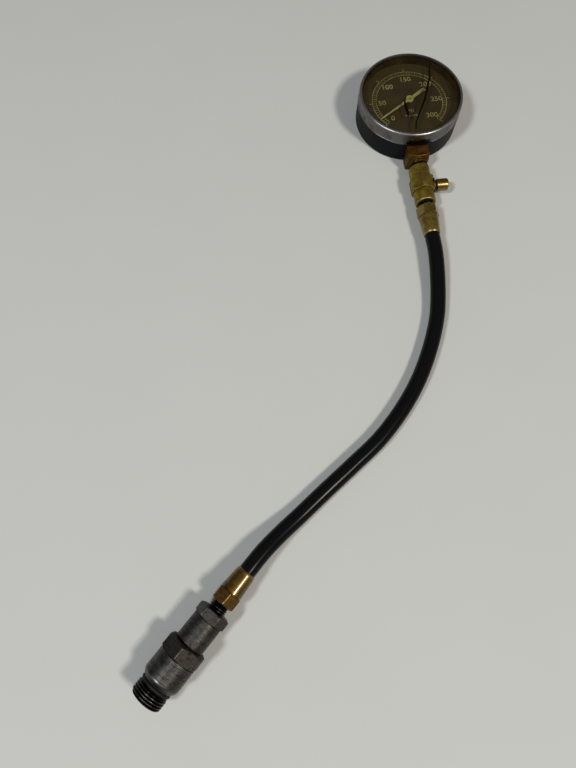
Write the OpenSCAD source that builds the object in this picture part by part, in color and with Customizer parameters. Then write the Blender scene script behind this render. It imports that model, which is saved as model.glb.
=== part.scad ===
// Compression tester: a dial pressure gauge, a release valve, a rubber hose and two plug adapters.
// Millimetres. The origin is the centre of the gauge's back face, +Z comes out of the dial
// and the stem leaves the gauge along -Y.

/* [Gauge case] */
// Outer diameter of the bezel ring
bezel_d = 70; // [66:0.5:76]
// Height of the whole gauge, from its back to the top of the bezel
gauge_h = 24.6; // [24:0.1:28]
// Height of the bezel ring's side
bezel_h = 9.6; // [8:0.1:9.8]
// Thickness of the bezel's side wall
bezel_wall = 1.4; // [1.1:0.1:2]
// How far the bezel's lip reaches in over the glass
bezel_lip = 2; // [1.8:0.1:3]
// Thickness of the bezel's lip
lip_t = 1; // [0.8:0.1:1.3]
// Thickness of the case's back
back_t = 1.2; // [1:0.1:1.4]
// Thickness of the case's lower side wall
case_wall = 1; // [0.8:0.1:1.6]
// Thickness of the case's neck, inside the bezel
neck_wall = 0.8; // [0.6:0.1:1]
// Open line between the case's shoulder and the bezel
bezel_gap = 0.3; // [0.1:0.1:0.6]
// Thickness of the glass
glass_t = 1.8; // [1.2:0.1:2]
// Thickness of the rubber ring under the glass
gasket_t = 1.2; // [0.8:0.1:1.4]

/* [Dial and pointer] */
// Thickness of the dial plate
dial_t = 0.6; // [0.4:0.1:0.8]
// How far the dial's face lies below the glass
dial_depth = 4.4; // [3.4:0.1:4.8]
// How far the pointer lies above the dial's face
pointer_gap = 1.8; // [0.8:0.1:2.6]
// Length of the pointer from its pivot to its tip
pointer_len = 27.4; // [20:0.2:28]
// Length of the pointer's tail
tail_len = 13.5; // [8:0.5:16]
// Width of the pointer at its hub
pointer_w = 2; // [1.2:0.1:2.4]
// Thickness of the pointer
pointer_t = 0.3; // [0.2:0.05:0.4]
// Diameter of the pointer's hub
hub_d = 5.2; // [3.5:0.1:6.5]
// Direction of the pointer at rest
zero_angle = 214; // [208:1:235]

/* [Movement] */
// Height of the link and sector gear above the case's back
sector_z = 8.6; // [8.2:0.1:9]
// Thickness of the sector gear
sector_t = 0.8; // [0.6:0.1:1]
// Size of the gear teeth
gear_module = 0.35; // [0.34:0.005:0.36]
// Teeth of the pinion on the pointer's arbor
pinion_teeth = 10; // [10:1:11]
// Teeth that the sector gear would have as a full wheel
sector_teeth = 80; // [78:1:82]
// Diameter of the pointer's arbor
arbor_d = 1.2; // [1:0.1:1.3]
// Diameter of the sector gear's shaft
shaft_d = 1.6; // [1.2:0.1:2]
// Thickness of the two movement plates
plate_t = 1; // [0.8:0.1:1.1]
// Mean radius of the curved pressure tube
tube_r = 25.5; // [25:0.1:26]
// Distance from the link's pivot to the tube's middle line
link_gap = 3.75; // [3.6:0.05:3.9]
// Width of the pressure tube, across its flat section
tube_w = 8; // [7:0.1:8.4]
// Thickness of the pressure tube
tube_t = 3; // [2.6:0.1:3.2]
// Wall of the pressure tube
tube_wall = 0.4; // [0.3:0.05:0.5]

/* [Stem] */
// Height of the stem's axis above the table
stem_z = 8.2; // [8.2:0.05:8.25]
// Width and height of the stem block's square head
head_w = 14.3; // [13:0.1:15]
// How far the square head reaches from the gauge's middle
block_end = 43.6; // [41:0.1:44.5]
// Diameter of the round boss on the head's face
boss_d = 12; // [11:0.1:13]
// Length of the boss
boss_len = 1.8; // [1:0.1:2.5]
// Diameter of the threaded stub on the stem block
stub_d = 9.8; // [8.5:0.1:10.2]
// Length of the threaded stub
stub_len = 9; // [8:0.5:9.5]
// Length of the stub left showing at the release valve
stub_gap = 3.2; // [2:0.1:4]
// Diameter of the gas passages
port_d = 3; // [2:0.1:3.2]

/* [Release valve] */
// Length of the valve body's round collar
collar_len = 7.8; // [7:0.1:9]
// Diameter of the round collar
collar_d = 13.6; // [12.6:0.1:14]
// Length of the valve body's hexagon
valve_len = 10.7; // [10:0.1:13]
// Width of the valve body's hexagon, across its flats
valve_af = 14.2; // [13.6:0.1:14.2]
// Length of the valve body's round neck
neck_len = 9; // [8:0.1:11]
// Diameter of the round neck
neck_d = 13.4; // [12.4:0.1:14]
// Diameter of the bush that guides the button
bush_d = 10; // [8.5:0.1:10.4]
// Diameter of the release button
button_d = 8; // [7.6:0.1:9]
// Length of the release button
button_len = 7.5; // [6:0.1:8.5]
// Travel of the release button
button_travel = 1.5; // [1:0.1:1.5]
// Diameter of the button's spindle
spindle_d = 2.4; // [2:0.1:2.6]

/* [Hose and couplings] */
// Outer diameter of the hose
hose_d = 9.5; // [9:0.1:9.6]
// Bore of the hose
hose_bore = 5; // [4.4:0.1:5.4]
// Length of a coupling's tapered ferrule
ferrule_len = 13.2; // [12:0.1:16]
// Diameter of the ferrule at the hose
ferrule_small_d = 10.4; // [10.4:0.1:11]
// Diameter of the ferrule at the nut
ferrule_big_d = 12.8; // [12.6:0.1:13.4]
// Length of a coupling's nut
nut_len = 7; // [6:0.1:9]
// Width of the nut across its flats
nut_af = 12.7; // [12.7:0.1:14]
// Diameter of the coupling's male thread
nipple_d = 9.8; // [9.4:0.1:10.2]
// Length of the coupling's male thread, from the nut's face
nipple_len = 10; // [9:0.1:10.4]
// Length of that thread left showing at the release valve
upper_gap = 3.2; // [2.5:0.1:4]
// Length of that thread left showing at the inner adapter
lower_gap = 4.8; // [3.5:0.1:5.5]

/* [Adapters] */
// Width of the inner adapter's hexagon, across its flats
inner_af = 15.9; // [15:0.1:16.6]
// Length of the inner adapter's hexagon
inner_hex_len = 5.8; // [4.5:0.1:8]
// Diameter of the inner adapter's barrel
inner_d = 16.5; // [15.6:0.1:17.4]
// Length of the inner adapter's barrel
inner_len = 14.2; // [14:0.1:18]
// Diameter of the thread between the two adapters
inner_thread_d = 13.9; // [13:0.1:14]
// Length of that thread
inner_thread_len = 10.8; // [10.5:0.1:13]
// Thickness of the washer between the adapters
washer_t = 0.8; // [0.5:0.1:1.2]
// Width of the outer adapter's hexagon, across its flats
outer_af = 20.65; // [20:0.05:21.5]
// Length of the outer adapter's hexagon
outer_hex_len = 7.7; // [6:0.1:10]
// Diameter of the outer adapter's barrel
outer_d = 20.9; // [20:0.1:22]
// Length of the outer adapter's barrel, without its chamfer
outer_len = 12.8; // [12:0.1:16]
// Length of the chamfer at the barrel's end
chamfer_len = 2.5; // [1.5:0.1:3]
// Diameter over the crests of the plug thread
plug_d = 17.8; // [17.6:0.05:17.95]
// Pitch of the plug thread
plug_pitch = 1.5; // [1.5:0.25:1.75]
// Number of crests on the plug thread
plug_crests = 5; // [4:1:7]
// Bore of the outer adapter
plug_bore = 6; // [4:0.1:8]
// Thickness of the rubber sealing ring behind the plug thread
seal_d = 2; // [1.6:0.1:2.2]

/* [Check valve] */
// Diameter of the check valve's body
core_d = 5; // [4.6:0.1:5.2]
// Length of the check valve's body
core_len = 8; // [7:0.1:8.5]
// Diameter of the check valve's pin
core_pin_d = 1.6; // [1.2:0.1:1.8]
// Travel of the check valve
core_travel = 1.2; // [0.8:0.1:1.2]

/* [Hidden] */

$fn = 96;
// Slack between two fixed pieces that slide together
seat = 0.05;
// Radial clearance of a shaft that turns or slides in its bore
running = 0.05;

bezel_r = bezel_d / 2;
bezel_bottom = gauge_h - bezel_h;
neck_r = bezel_r - bezel_wall - seat;
neck_in_r = neck_r - neck_wall;
case_r = bezel_r - 0.2;
case_corner = 1.4;
shoulder_z = bezel_bottom - bezel_gap;
glass_top = gauge_h - lip_t;
glass_bottom = glass_top - glass_t;
rim_z = glass_bottom - gasket_t;
glass_r = neck_r - 0.1;
bead_r = 0.5;
bead_proud = 0.25;
rim_round = 1.1;

dial_top = glass_bottom - dial_depth;
dial_bottom = dial_top - dial_t;
dial_r = neck_in_r - 0.2;
// The dial's posts stand midway between the pressure tube and the case's neck.
dial_screw_at = (tube_r + tube_t / 2 + neck_in_r) / 2;
dial_hole_r = arbor_d / 2 + 0.7;
dial_screw_r = 0.8;
dial_post_r = 1.5;
post_hole_len = 5;
hub_t = 0.9;
pointer_z = dial_top + pointer_gap;
hub_z = pointer_z - 0.3;
pointer_tip_w = 0.4;
stop_r = 0.4;
stop_at = tail_len + 1.5;
stop_half_w = pointer_w / 2 - (pointer_w / 2 - pointer_tip_w) * stop_at / (pointer_len - 2);
stop_angle = zero_angle + asin((stop_half_w + stop_r + 0.03) / stop_at);

plate_z = 3;
spring_z = sector_z + sector_t + 1.8;
front_z = spring_z + 1.3;
tongue_t = plate_z - back_t;
gear_centre = gear_module * (pinion_teeth + sector_teeth) / 2;
sector_tail = tube_r - gear_centre - link_gap;
sector_heading = -20;
sector_x = gear_centre * cos(sector_heading);
sector_y = gear_centre * sin(sector_heading);
pointer_sweep = 270;
sector_swing = pointer_sweep * pinion_teeth / sector_teeth;
tail_heading = -19.7;
link_x = sector_x + sector_tail * cos(tail_heading);
link_y = sector_y + sector_tail * sin(tail_heading);
link_len = 8.8;
link_t = 0.6;
link_z = sector_z + sector_t + 0.3;
link_pin_r = 0.5;
open_eye_r = 0.75;
lug_x = link_x + 0.2;
lug_y = link_y - link_len;
pillar_places = [[-5.5, -8.5], [-5.5, 6.5], [17, 5.5]];
pillar_r = 1.4;
plate_screw_r = 0.7;
plate_low = [-8, -11];
plate_high = [19.5, 9];
movement_screw_places = [[-2.8, -8], [2.8, -8]];
stud_x = 6;
stud_r = 0.3;
collet_r = arbor_d / 2 + 0.5;

tube_root = 262;
root_socket = 30;
tube_end = -18;
tip_sweep = 6;
tip_wall = 0.35;

foot_y = [-(case_r - 1.8), -(tube_r - 5.5)];
case_screw_ys = [-(case_r - 10.8), -(case_r - 4.8)];
case_screw_r = 1.5;
case_head_r = 2.8;
case_screw_top = 5.6;
// The stem block fills the window in the case's side, from a little above its back to its shoulder.
window_z = back_t + 0.5;
window = shoulder_z - window_z;
block_slack = 0.15;
block_z = window_z + block_slack;
block_w = window - 2 * block_slack;
head_start = bezel_r + 0.4;
head_face_r = head_w / 2 - 0.45;
head_cut_slope = 0.5;
tongue_w = 10;
tongue_end = 4.2;
stub_start = block_end + boss_len;
stub_end = stub_start + stub_len;

valve_start = stub_start + stub_gap;
hex_start = valve_start + collar_len;
hex_end = hex_start + valve_len;
valve_end = hex_end + neck_len;
release_at = hex_start + valve_len / 2 + 0.6;
bush_face = valve_af / 2 + 0.4;
bush_shank_r = 3.4;
seat_x = -0.9;
seal_t = 0.7;
head_t = 1;
head_r = 2.4;
chamber_x = seat_x - seal_t - head_t - button_travel - 0.9;
chamber_r = 3;
passage_x = -3;
button_gap = button_travel + 0.4;
nose_end = bush_face + button_gap + 1.2;
button_x = bush_face + button_gap;
button_roof = button_x + 3.4;
skirt_r = button_d / 2 - 0.6;
spring_wire = 0.6;
spring_r = skirt_r - 0.15 - spring_wire / 2;
nose_r = spring_r - spring_wire / 2 - 0.35;
vent_w = 0.8;

coupling_len = ferrule_len + nut_len;
hose_start = valve_end + upper_gap + coupling_len;
nut_front = 1;
flange_t = 2;
flange_r = 5.6;
flat_turn = 30;
lower_nut_turn = 22;
spigot_r = 5.7;
ferrule_bore_r = hose_d / 2 + 0.1;
tail_r = hose_bore / 2 - 0.15;
hose_end_len = ferrule_len + 1.8;

// The hose lies on the table between the two couplings, and rises to each of them.
adapter_x = -134.5;
adapter_y = -293;
adapter_heading = 45;
// The outer adapter's hexagon lies on the table on one corner, a little off its lowest turn.
outer_turn = 3;
adapter_z = outer_af / 2 / cos(30) * cos(outer_turn) + 0.03;
hose_route = [
    [0, -hose_start, stem_z], [0, -111, stem_z], [-1, -124, 7.5], [-3, -140, 5.8], [-6.5, -156, 4.9],
    [-14, -175, 4.8], [-24.5, -194.5, 4.8], [-37.5, -212, 4.8], [-53, -228, 4.8], [-70.5, -241.5, 4.8],
    [-88, -254.5, 4.8], [-103, -266, 5.4], [-115.5, -275.5, 7.7], [-125.5, -284, 10.5],
    [adapter_x, adapter_y, adapter_z]
];
hose_sides = 12;

inner_start = coupling_len + lower_gap;
inner_barrel = inner_start + inner_hex_len;
inner_end = inner_barrel + inner_len;
thread_tip = inner_end + inner_thread_len;
outer_start = inner_end + washer_t;
outer_barrel = outer_start + outer_hex_len;
outer_end = outer_barrel + outer_len;
undercut_start = outer_end + chamfer_len;
undercut_r = plug_d / 2 - seal_d;
plug_start = undercut_start + seal_d;
plug_depth = 0.92;
plug_end = plug_start + plug_crests * plug_pitch;
outer_bore_end = thread_tip + 1.5;
nipple_hole_end = inner_start + nipple_len - lower_gap + 1.5;
core_start = inner_end - 3;
core_hole_r = core_d / 2 + seat;
core_spring_len = core_travel + 2.3;
core_cap_t = 0.8;
core_head_t = 1.2;
core_seal_t = 0.5;
core_head_r = 1.9;
core_spring_r = 1.25;
core_spring_wire = 0.3;

function involute(r, base) = r <= base ? 0 : tan(acos(base / r)) - acos(base / r) * PI / 180;
function flank(r, teeth, base, pitch, slack) =
    (90 / teeth) * (1 - slack) + (involute(pitch, base) - involute(r, base)) * 180 / PI;
function polar(r, a) = [r * cos(a), r * sin(a)];
function gear_points(teeth, first, last, turn, slack = 0.22) =
    let (pitch = gear_module * teeth / 2)
    let (base = pitch * cos(20))
    let (root = pitch - 1.15 * gear_module)
    let (tip = pitch + 0.78 * gear_module)
    let (radii = [root, max(root, base), pitch, (pitch + tip) / 2, tip])
    [for (k = [first:last]) let (a = turn + k * 360 / teeth)
        each concat(
            [for (r = radii) polar(r, a - flank(r, teeth, base, pitch, slack))],
            [for (i = [len(radii) - 1:-1:0]) polar(radii[i], a + flank(radii[i], teeth, base, pitch, slack))]
        )];

function unit(v) = v / norm(v);
function tangent(p, i) = unit(p[min(i + 1, len(p) - 1)] - p[max(i - 1, 0)]);
function ring(c, t, r, sides) =
    let (side = unit(cross([0, 0, 1], t)))
    let (up = cross(t, side))
    [for (k = [0:sides - 1]) let (a = (k + 0.5) * 360 / sides) c + r * (cos(a) * side + sin(a) * up)];

module on_stem(distance) {
    translate([0, -distance, stem_z]) rotate([90, 0, 0]) children();
}

module on_button(distance) {
    translate([distance, -release_at, stem_z]) rotate([0, 90, 0]) children();
}

module on_adapter(distance) {
    translate([adapter_x, adapter_y, adapter_z]) rotate([0, 0, -adapter_heading])
        rotate([90, 0, 0]) translate([0, 0, distance]) children();
}

// A hexagon with its corners turned off at a slope, as on a nut.
module hexagon_head(across_flats, length, turn = 0) {
    corner_r = across_flats / 2 / cos(30);
    flat_r = across_flats / 2 - 0.1;
    slope = (corner_r - flat_r) * 0.6;
    rotate([0, 0, turn]) intersection() {
        cylinder(r = corner_r, h = length, $fn = 6);
        rotate_extrude()
            polygon([[0, 0], [flat_r, 0], [corner_r, slope], [corner_r, length - slope],
                [flat_r, length], [0, length]]);
    }
}

// Thread crests as rings with flat tops, over a root cylinder.
module thread(crest_r, depth, pitch, crests, crest_w) {
    root_r = crest_r - depth;
    rotate_extrude()
        polygon(concat([[0, 0]],
            [for (i = [0:crests - 1]) each [
                [root_r, i * pitch],
                [crest_r, i * pitch + (pitch - crest_w) / 2],
                [crest_r, i * pitch + (pitch + crest_w) / 2],
                [root_r, (i + 1) * pitch]]],
            [[0, crests * pitch]]));
}

// A round wire wound into a compression spring from z = 0 to z = length.
module coil_spring(mean_r, wire, length, turns) {
    steps = turns * 16;
    rise = length - wire;
    sides = 6;
    rings = [for (i = [0:steps])
        let (a = i * 360 / 16)
        let (c = [mean_r * cos(a), mean_r * sin(a), wire / 2 + rise * i / steps])
        let (out = [cos(a), sin(a), 0])
        [for (k = [0:sides - 1]) let (b = k * 360 / sides)
            c + wire / 2 * (cos(b) * out + sin(b) * [0, 0, 1])]];
    faces = concat(
        [for (i = [0:steps - 1], k = [0:sides - 1]) each [
            [i * sides + k, i * sides + (k + 1) % sides, (i + 1) * sides + k],
            [i * sides + (k + 1) % sides, (i + 1) * sides + (k + 1) % sides, (i + 1) * sides + k]]],
        [for (k = [1:sides - 2]) [0, k + 1, k]],
        [for (k = [1:sides - 2]) [steps * sides, steps * sides + k, steps * sides + k + 1]]);
    polyhedron([for (r = rings) each r], faces);
}

module screw(shank_r, shank_len, head_r, head_t, slot_w) {
    difference() {
        union() {
            translate([0, 0, -shank_len]) cylinder(r = shank_r, h = shank_len, $fn = 32);
            cylinder(r = head_r, h = head_t, $fn = 32);
        }
        translate([-head_r - 1, -slot_w / 2, head_t * 0.5]) cube([2 * head_r + 2, slot_w, head_t]);
    }
}

module gauge_case() {
    inner_r = case_r - case_wall;
    step_z = shoulder_z - case_wall - (inner_r - neck_in_r);
    color("#23272b") difference() {
        rotate_extrude($fn = 144) difference() {
            union() {
                translate([0, case_corner]) square([case_r, shoulder_z - case_corner]);
                square([case_r - case_corner, case_corner]);
                translate([case_r - case_corner, case_corner]) circle(r = case_corner, $fn = 48);
                square([neck_r, rim_z]);
            }
            polygon([[-1, back_t], [inner_r, back_t], [inner_r, step_z],
                [neck_in_r, step_z + inner_r - neck_in_r], [neck_in_r, rim_z + 1], [-1, rim_z + 1]]);
            translate([-bezel_d, -1]) square([bezel_d, gauge_h]);
        }
        translate([-window / 2, -case_r - 1, window_z])
            cube([window, 2 * case_wall + 2, window]);
        for (y = case_screw_ys) translate([0, y, 0]) {
            translate([0, 0, -1]) cylinder(r = case_screw_r + seat, h = back_t + 2, $fn = 32);
            translate([0, 0, -0.01]) cylinder(r = case_head_r, h = back_t / 2 + 0.01, $fn = 32);
        }
    }
}

module bezel_ring() {
    inner_r = neck_r + seat;
    side_r = bezel_r - bead_proud;
    lip_r = bezel_r - bezel_lip;
    color("#8d8c8a") rotate_extrude($fn = 144) difference() {
        union() {
            translate([bezel_r - bead_r, bezel_bottom + bead_r]) circle(r = bead_r, $fn = 32);
            translate([inner_r, bezel_bottom + bead_r])
                square([side_r - inner_r, bezel_h - bead_r - rim_round]);
            translate([lip_r, glass_top]) square([side_r - rim_round - lip_r, lip_t]);
            translate([side_r - rim_round, gauge_h - rim_round]) circle(r = rim_round, $fn = 48);
        }
        square([inner_r, glass_top]);
        square([lip_r, gauge_h]);
    }
}

module dial_glass() {
    color("#c9c2a0", 0.35) translate([0, 0, glass_bottom]) cylinder(r = glass_r, h = glass_t, $fn = 144);
}

module glass_gasket() {
    color("#1a1a1a") translate([0, 0, rim_z]) difference() {
        cylinder(r = glass_r, h = gasket_t, $fn = 144);
        translate([0, 0, -1]) cylinder(r = glass_r - 1.1, h = gasket_t + 2, $fn = 144);
    }
}

module dial_plate() {
    color("#4a4326") translate([0, 0, dial_bottom]) difference() {
        cylinder(r = dial_r, h = dial_t, $fn = 144);
        translate([0, 0, -1]) cylinder(r = dial_hole_r, h = dial_t + 2, $fn = 32);
        for (side = [-1, 1]) translate([side * dial_screw_at, 0, -1])
            cylinder(r = dial_screw_r + seat, h = dial_t + 2, $fn = 32);
        rotate([0, 0, stop_angle]) translate([stop_at, 0, -1])
            cylinder(r = stop_r + seat / 2, h = dial_t + 2, $fn = 24);
    }
}

module dial_posts() {
    color("#9a8248") for (side = [-1, 1]) translate([side * dial_screw_at, 0, back_t]) difference() {
        cylinder(r = dial_post_r, h = dial_bottom - back_t, $fn = 32);
        translate([0, 0, dial_bottom - back_t - post_hole_len])
            cylinder(r = dial_screw_r + seat, h = post_hole_len + 1, $fn = 32);
    }
}

module dial_screws() {
    color("#7d7a70") for (side = [-1, 1]) translate([side * dial_screw_at, 0, dial_top])
        rotate([0, 0, 35 * side]) screw(dial_screw_r, dial_t + post_hole_len - 1, 1.5, 0.7, 0.4);
}

module stop_pin() {
    color("#9a8248") rotate([0, 0, stop_angle]) translate([stop_at, 0, dial_bottom])
        cylinder(r = stop_r, h = pointer_z + pointer_t + 0.4 - dial_bottom, $fn = 24);
}

module pointer() {
    color("#c8c084") rotate([0, 0, zero_angle]) difference() {
        union() {
            translate([0, 0, pointer_z]) linear_extrude(pointer_t) polygon([
                [0, -pointer_w / 2], [pointer_len - 2, -pointer_tip_w], [pointer_len, 0],
                [pointer_len - 2, pointer_tip_w], [0, pointer_w / 2],
                [-tail_len, pointer_w * 0.65], [-tail_len, -pointer_w * 0.65]]);
            translate([0, 0, hub_z]) cylinder(d = hub_d, h = hub_t, $fn = 48);
        }
        translate([0, 0, hub_z - 1]) cylinder(d = arbor_d + 0.04, h = hub_t + 2, $fn = 32);
    }
}

module pointer_arbor() {
    pinion_z = sector_z - 0.8;
    color("#b59b52") {
        translate([0, 0, plate_z + 0.1])
            cylinder(d = arbor_d, h = hub_z + hub_t + 0.1 - plate_z - 0.1, $fn = 32);
        translate([0, 0, pinion_z]) linear_extrude(sector_t + 1.6)
            polygon(gear_points(pinion_teeth, 0, pinion_teeth - 1, sector_heading));
        translate([0, 0, spring_z - 0.2]) cylinder(r = collet_r, h = 1, $fn = 32);
    }
}

// A flat spiral from the arbor's collet to its stud.
module hairspring() {
    turns = 4.5;
    steps = 90;
    thick = 0.16;
    rise = (stud_x - stud_r - thick - collet_r) / steps;
    spiral = [for (i = [0:steps]) [collet_r + i * rise, 180 + i * turns * 360 / steps]];
    color("#a8904c") translate([0, 0, spring_z]) linear_extrude(0.5) polygon(concat(
        [for (p = spiral) polar(p[0], p[1])],
        [for (i = [steps:-1:0]) polar(spiral[i][0] + thick, spiral[i][1])]));
}

module hairspring_stud() {
    color("#9a8248") translate([stud_x, 0, spring_z - 0.2])
        cylinder(r = stud_r, h = front_z - spring_z + 0.2, $fn = 24);
}

module plate_outline() {
    difference() {
        translate(plate_low) square(plate_high - plate_low);
        circle(r = arbor_d / 2 + running, $fn = 32);
        translate([sector_x, sector_y]) circle(r = shaft_d / 2 + running, $fn = 32);
    }
}

module back_plate() {
    color("#b0944a") translate([0, 0, plate_z]) difference() {
        linear_extrude(plate_t) plate_outline();
        for (p = movement_screw_places) translate([p[0], p[1], -1])
            cylinder(r = plate_screw_r + seat, h = plate_t + 2, $fn = 24);
    }
}

module front_plate() {
    color("#b0944a") translate([0, 0, front_z]) difference() {
        linear_extrude(plate_t) plate_outline();
        for (p = pillar_places) translate([p[0], p[1], -1])
            cylinder(r = plate_screw_r + seat, h = plate_t + 2, $fn = 24);
    }
}

module pillars() {
    color("#a8904c") for (p = pillar_places) translate([p[0], p[1], plate_z + plate_t]) difference() {
        cylinder(r = pillar_r, h = front_z - plate_z - plate_t, $fn = 32);
        translate([0, 0, front_z - plate_z - plate_t - 3])
            cylinder(r = plate_screw_r + seat, h = 4, $fn = 24);
    }
}

module pillar_screws() {
    color("#8a8780") for (p = pillar_places) translate([p[0], p[1], front_z + plate_t])
        rotate([0, 0, 20 * p[1]]) screw(plate_screw_r, plate_t + 2.5, 1.3, 0.8, 0.35);
}

module movement_screws() {
    color("#8a8780") for (p = movement_screw_places) translate([p[0], p[1], plate_z + plate_t])
        screw(plate_screw_r, plate_t + tongue_t - 0.5, 1.3, 0.8, 0.35);
}

// The sector's teeth lie where the pinion meets them, over the whole swing.
module sector_gear() {
    step = 360 / sector_teeth;
    mesh = sector_heading + 180;
    below = ceil(sector_swing / step) + 2;
    teeth = gear_points(sector_teeth, -below, 1, mesh + step / 2);
    root = gear_module * (sector_teeth / 2 - 1.15);
    tail_w = 2.2;
    color("#b59b52") translate([sector_x, sector_y, 0]) {
        translate([0, 0, plate_z + 0.1])
            cylinder(d = shaft_d, h = front_z + plate_t - plate_z - 0.2, $fn = 32);
        translate([0, 0, sector_z - 0.6]) cylinder(r = 2, h = sector_t + 0.6, $fn = 48);
        translate([0, 0, sector_z]) linear_extrude(sector_t) {
            difference() {
                polygon(concat([[0, 0]], teeth));
                polygon([for (r = [5, root - 2.5], s = [0, 1])
                    polar(r, mesh + ((r == 5) == (s == 0) ? 2 : -sector_swing - 3))]);
            }
            rotate(tail_heading) translate([0, -tail_w / 2]) square([sector_tail, tail_w]);
            rotate(tail_heading) translate([sector_tail, 0]) circle(d = tail_w, $fn = 32);
        }
        rotate([0, 0, tail_heading]) translate([sector_tail, 0, sector_z])
            cylinder(r = link_pin_r, h = sector_t + link_t + 0.6, $fn = 24);
    }
}

module link() {
    reach = norm([lug_x - link_x, lug_y - link_y]);
    heading = atan2(lug_y - link_y, lug_x - link_x);
    color("#b59b52") translate([link_x, link_y, link_z]) rotate([0, 0, heading]) difference() {
        linear_extrude(link_t) {
            circle(r = 1.2, $fn = 32);
            translate([reach, 0]) circle(r = 1.7, $fn = 32);
            translate([0, -0.6]) square([reach, 1.2]);
        }
        translate([0, 0, -1]) cylinder(r = link_pin_r + running, h = link_t + 2, $fn = 24);
        translate([reach, 0, -1]) cylinder(r = open_eye_r, h = link_t + 2, $fn = 24);
    }
}

// The flattened section of the pressure tube, with half-round edges, grown by a margin.
module tube_section(margin) {
    round_r = tube_t / 2 + margin;
    straight = tube_w - tube_t;
    translate([tube_r, stem_z]) {
        square([2 * round_r, straight], center = true);
        for (side = [-1, 1]) translate([0, side * straight / 2]) circle(r = round_r, $fn = 32);
    }
}

module tube_sweep(from, to, margin) {
    rotate([0, 0, from]) rotate_extrude(angle = to - from, $fn = 144) tube_section(margin);
}

module pressure_tube() {
    color("#a77f45") rotate([0, 0, tube_end]) rotate_extrude(angle = tube_root - tube_end, $fn = 144)
        difference() {
            tube_section(0);
            tube_section(-tube_wall);
        }
}

module tube_tip() {
    lug_z = sector_z;
    start = polar(tube_r, tube_end - tip_sweep / 2);
    reach = norm([lug_x, lug_y] - start);
    heading = atan2(lug_y - start[1], lug_x - start[0]);
    color("#a08440") {
        tube_sweep(tube_end - tip_sweep, tube_end - 0.1, tip_wall);
        translate([start[0], start[1], lug_z]) rotate([0, 0, heading]) linear_extrude(sector_t) {
            translate([0, -1.1]) square([reach, 2.2]);
            translate([reach, 0]) circle(r = 1.3, $fn = 32);
        }
        translate([lug_x, lug_y, lug_z]) cylinder(r = link_pin_r, h = sector_t + link_t + 0.6, $fn = 24);
    }
}

// The square block that carries the pressure tube and the movement. Outside the case it is a larger
// square head, whose front is turned to a cone round a boss and a threaded stub.
module stem_block() {
    inner_y = foot_y[1];
    head_len = block_end - head_start;
    cut_start = head_len - (head_w - head_face_r) * head_cut_slope;
    color("#93631f") difference() {
        union() {
            on_stem(head_start) intersection() {
                translate([-head_w / 2, -head_w / 2, 0]) cube([head_w, head_w, head_len]);
                rotate_extrude() polygon([[0, 0], [head_w, 0], [head_w, cut_start], [head_face_r, head_len],
                    [0, head_len]]);
            }
            on_stem(block_end - 1) cylinder(d = boss_d, h = boss_len + 1);
            on_stem(stub_start - 1) cylinder(d = stub_d, h = stub_len + 1);
            translate([-block_w / 2, -head_start - 1, block_z])
                cube([block_w, head_start + 1 + inner_y, block_w]);
            translate([-block_w / 2, foot_y[0], back_t])
                cube([block_w, foot_y[1] - foot_y[0], stem_z - back_t]);
            translate([-tongue_w / 2, inner_y - 1, back_t])
                cube([tongue_w, tongue_end + 1 - inner_y, tongue_t]);
        }
        on_stem(stub_end + 1) mirror([0, 0, 1]) cylinder(d = port_d, h = stub_end + 1 - tube_r);
        translate([0, -tube_r, stem_z]) rotate([0, -90, 0])
            cylinder(d = port_d - 0.6, h = 1.5 - tube_r * cos(tube_root));
        tube_sweep(tube_root - root_socket, tube_root, seat);
        for (y = case_screw_ys) translate([0, y, 0])
            cylinder(r = case_screw_r + seat, h = case_screw_top + 0.4, $fn = 32);
        for (p = movement_screw_places) translate([p[0], p[1], back_t + 0.3])
            cylinder(r = plate_screw_r + seat, h = tongue_t, $fn = 24);
    }
}

module case_screws() {
    color("#8a8780") for (y = case_screw_ys) translate([0, y, 0]) difference() {
        union() {
            translate([0, 0, 0.1]) cylinder(r = case_head_r - seat, h = back_t / 2 - 0.1, $fn = 32);
            translate([0, 0, 0.1]) cylinder(r = case_screw_r, h = case_screw_top - 0.1, $fn = 32);
        }
        translate([-case_head_r - 1, -0.4, -1]) cube([2 * case_head_r + 2, 0.8, 1.35]);
    }
}

module valve_body() {
    color("#8c7330") difference() {
        union() {
            on_stem(valve_start) cylinder(d = collar_d, h = collar_len + 1);
            on_stem(hex_start) hexagon_head(valve_af, valve_len, flat_turn);
            on_stem(hex_end - 1) cylinder(d = neck_d, h = neck_len + 1);
        }
        on_stem(valve_start - 1) cylinder(d = stub_d + 2 * seat, h = stub_end - valve_start + 1.5);
        on_stem(valve_start) translate([passage_x, 0, 0])
            cylinder(d = port_d, h = valve_end - valve_start - 2);
        on_stem(valve_end + 1) mirror([0, 0, 1])
            cylinder(d = nipple_d + 2 * seat, h = nipple_len - upper_gap + 1.6);
        on_button(chamber_x) cylinder(r = chamber_r, h = bush_face - chamber_x);
        on_button(seat_x) cylinder(r = bush_shank_r + seat, h = bush_face - seat_x + 1);
        on_button(valve_af / 2 - 0.6) cylinder(d = bush_d + 2 * seat, h = 3);
    }
}

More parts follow.
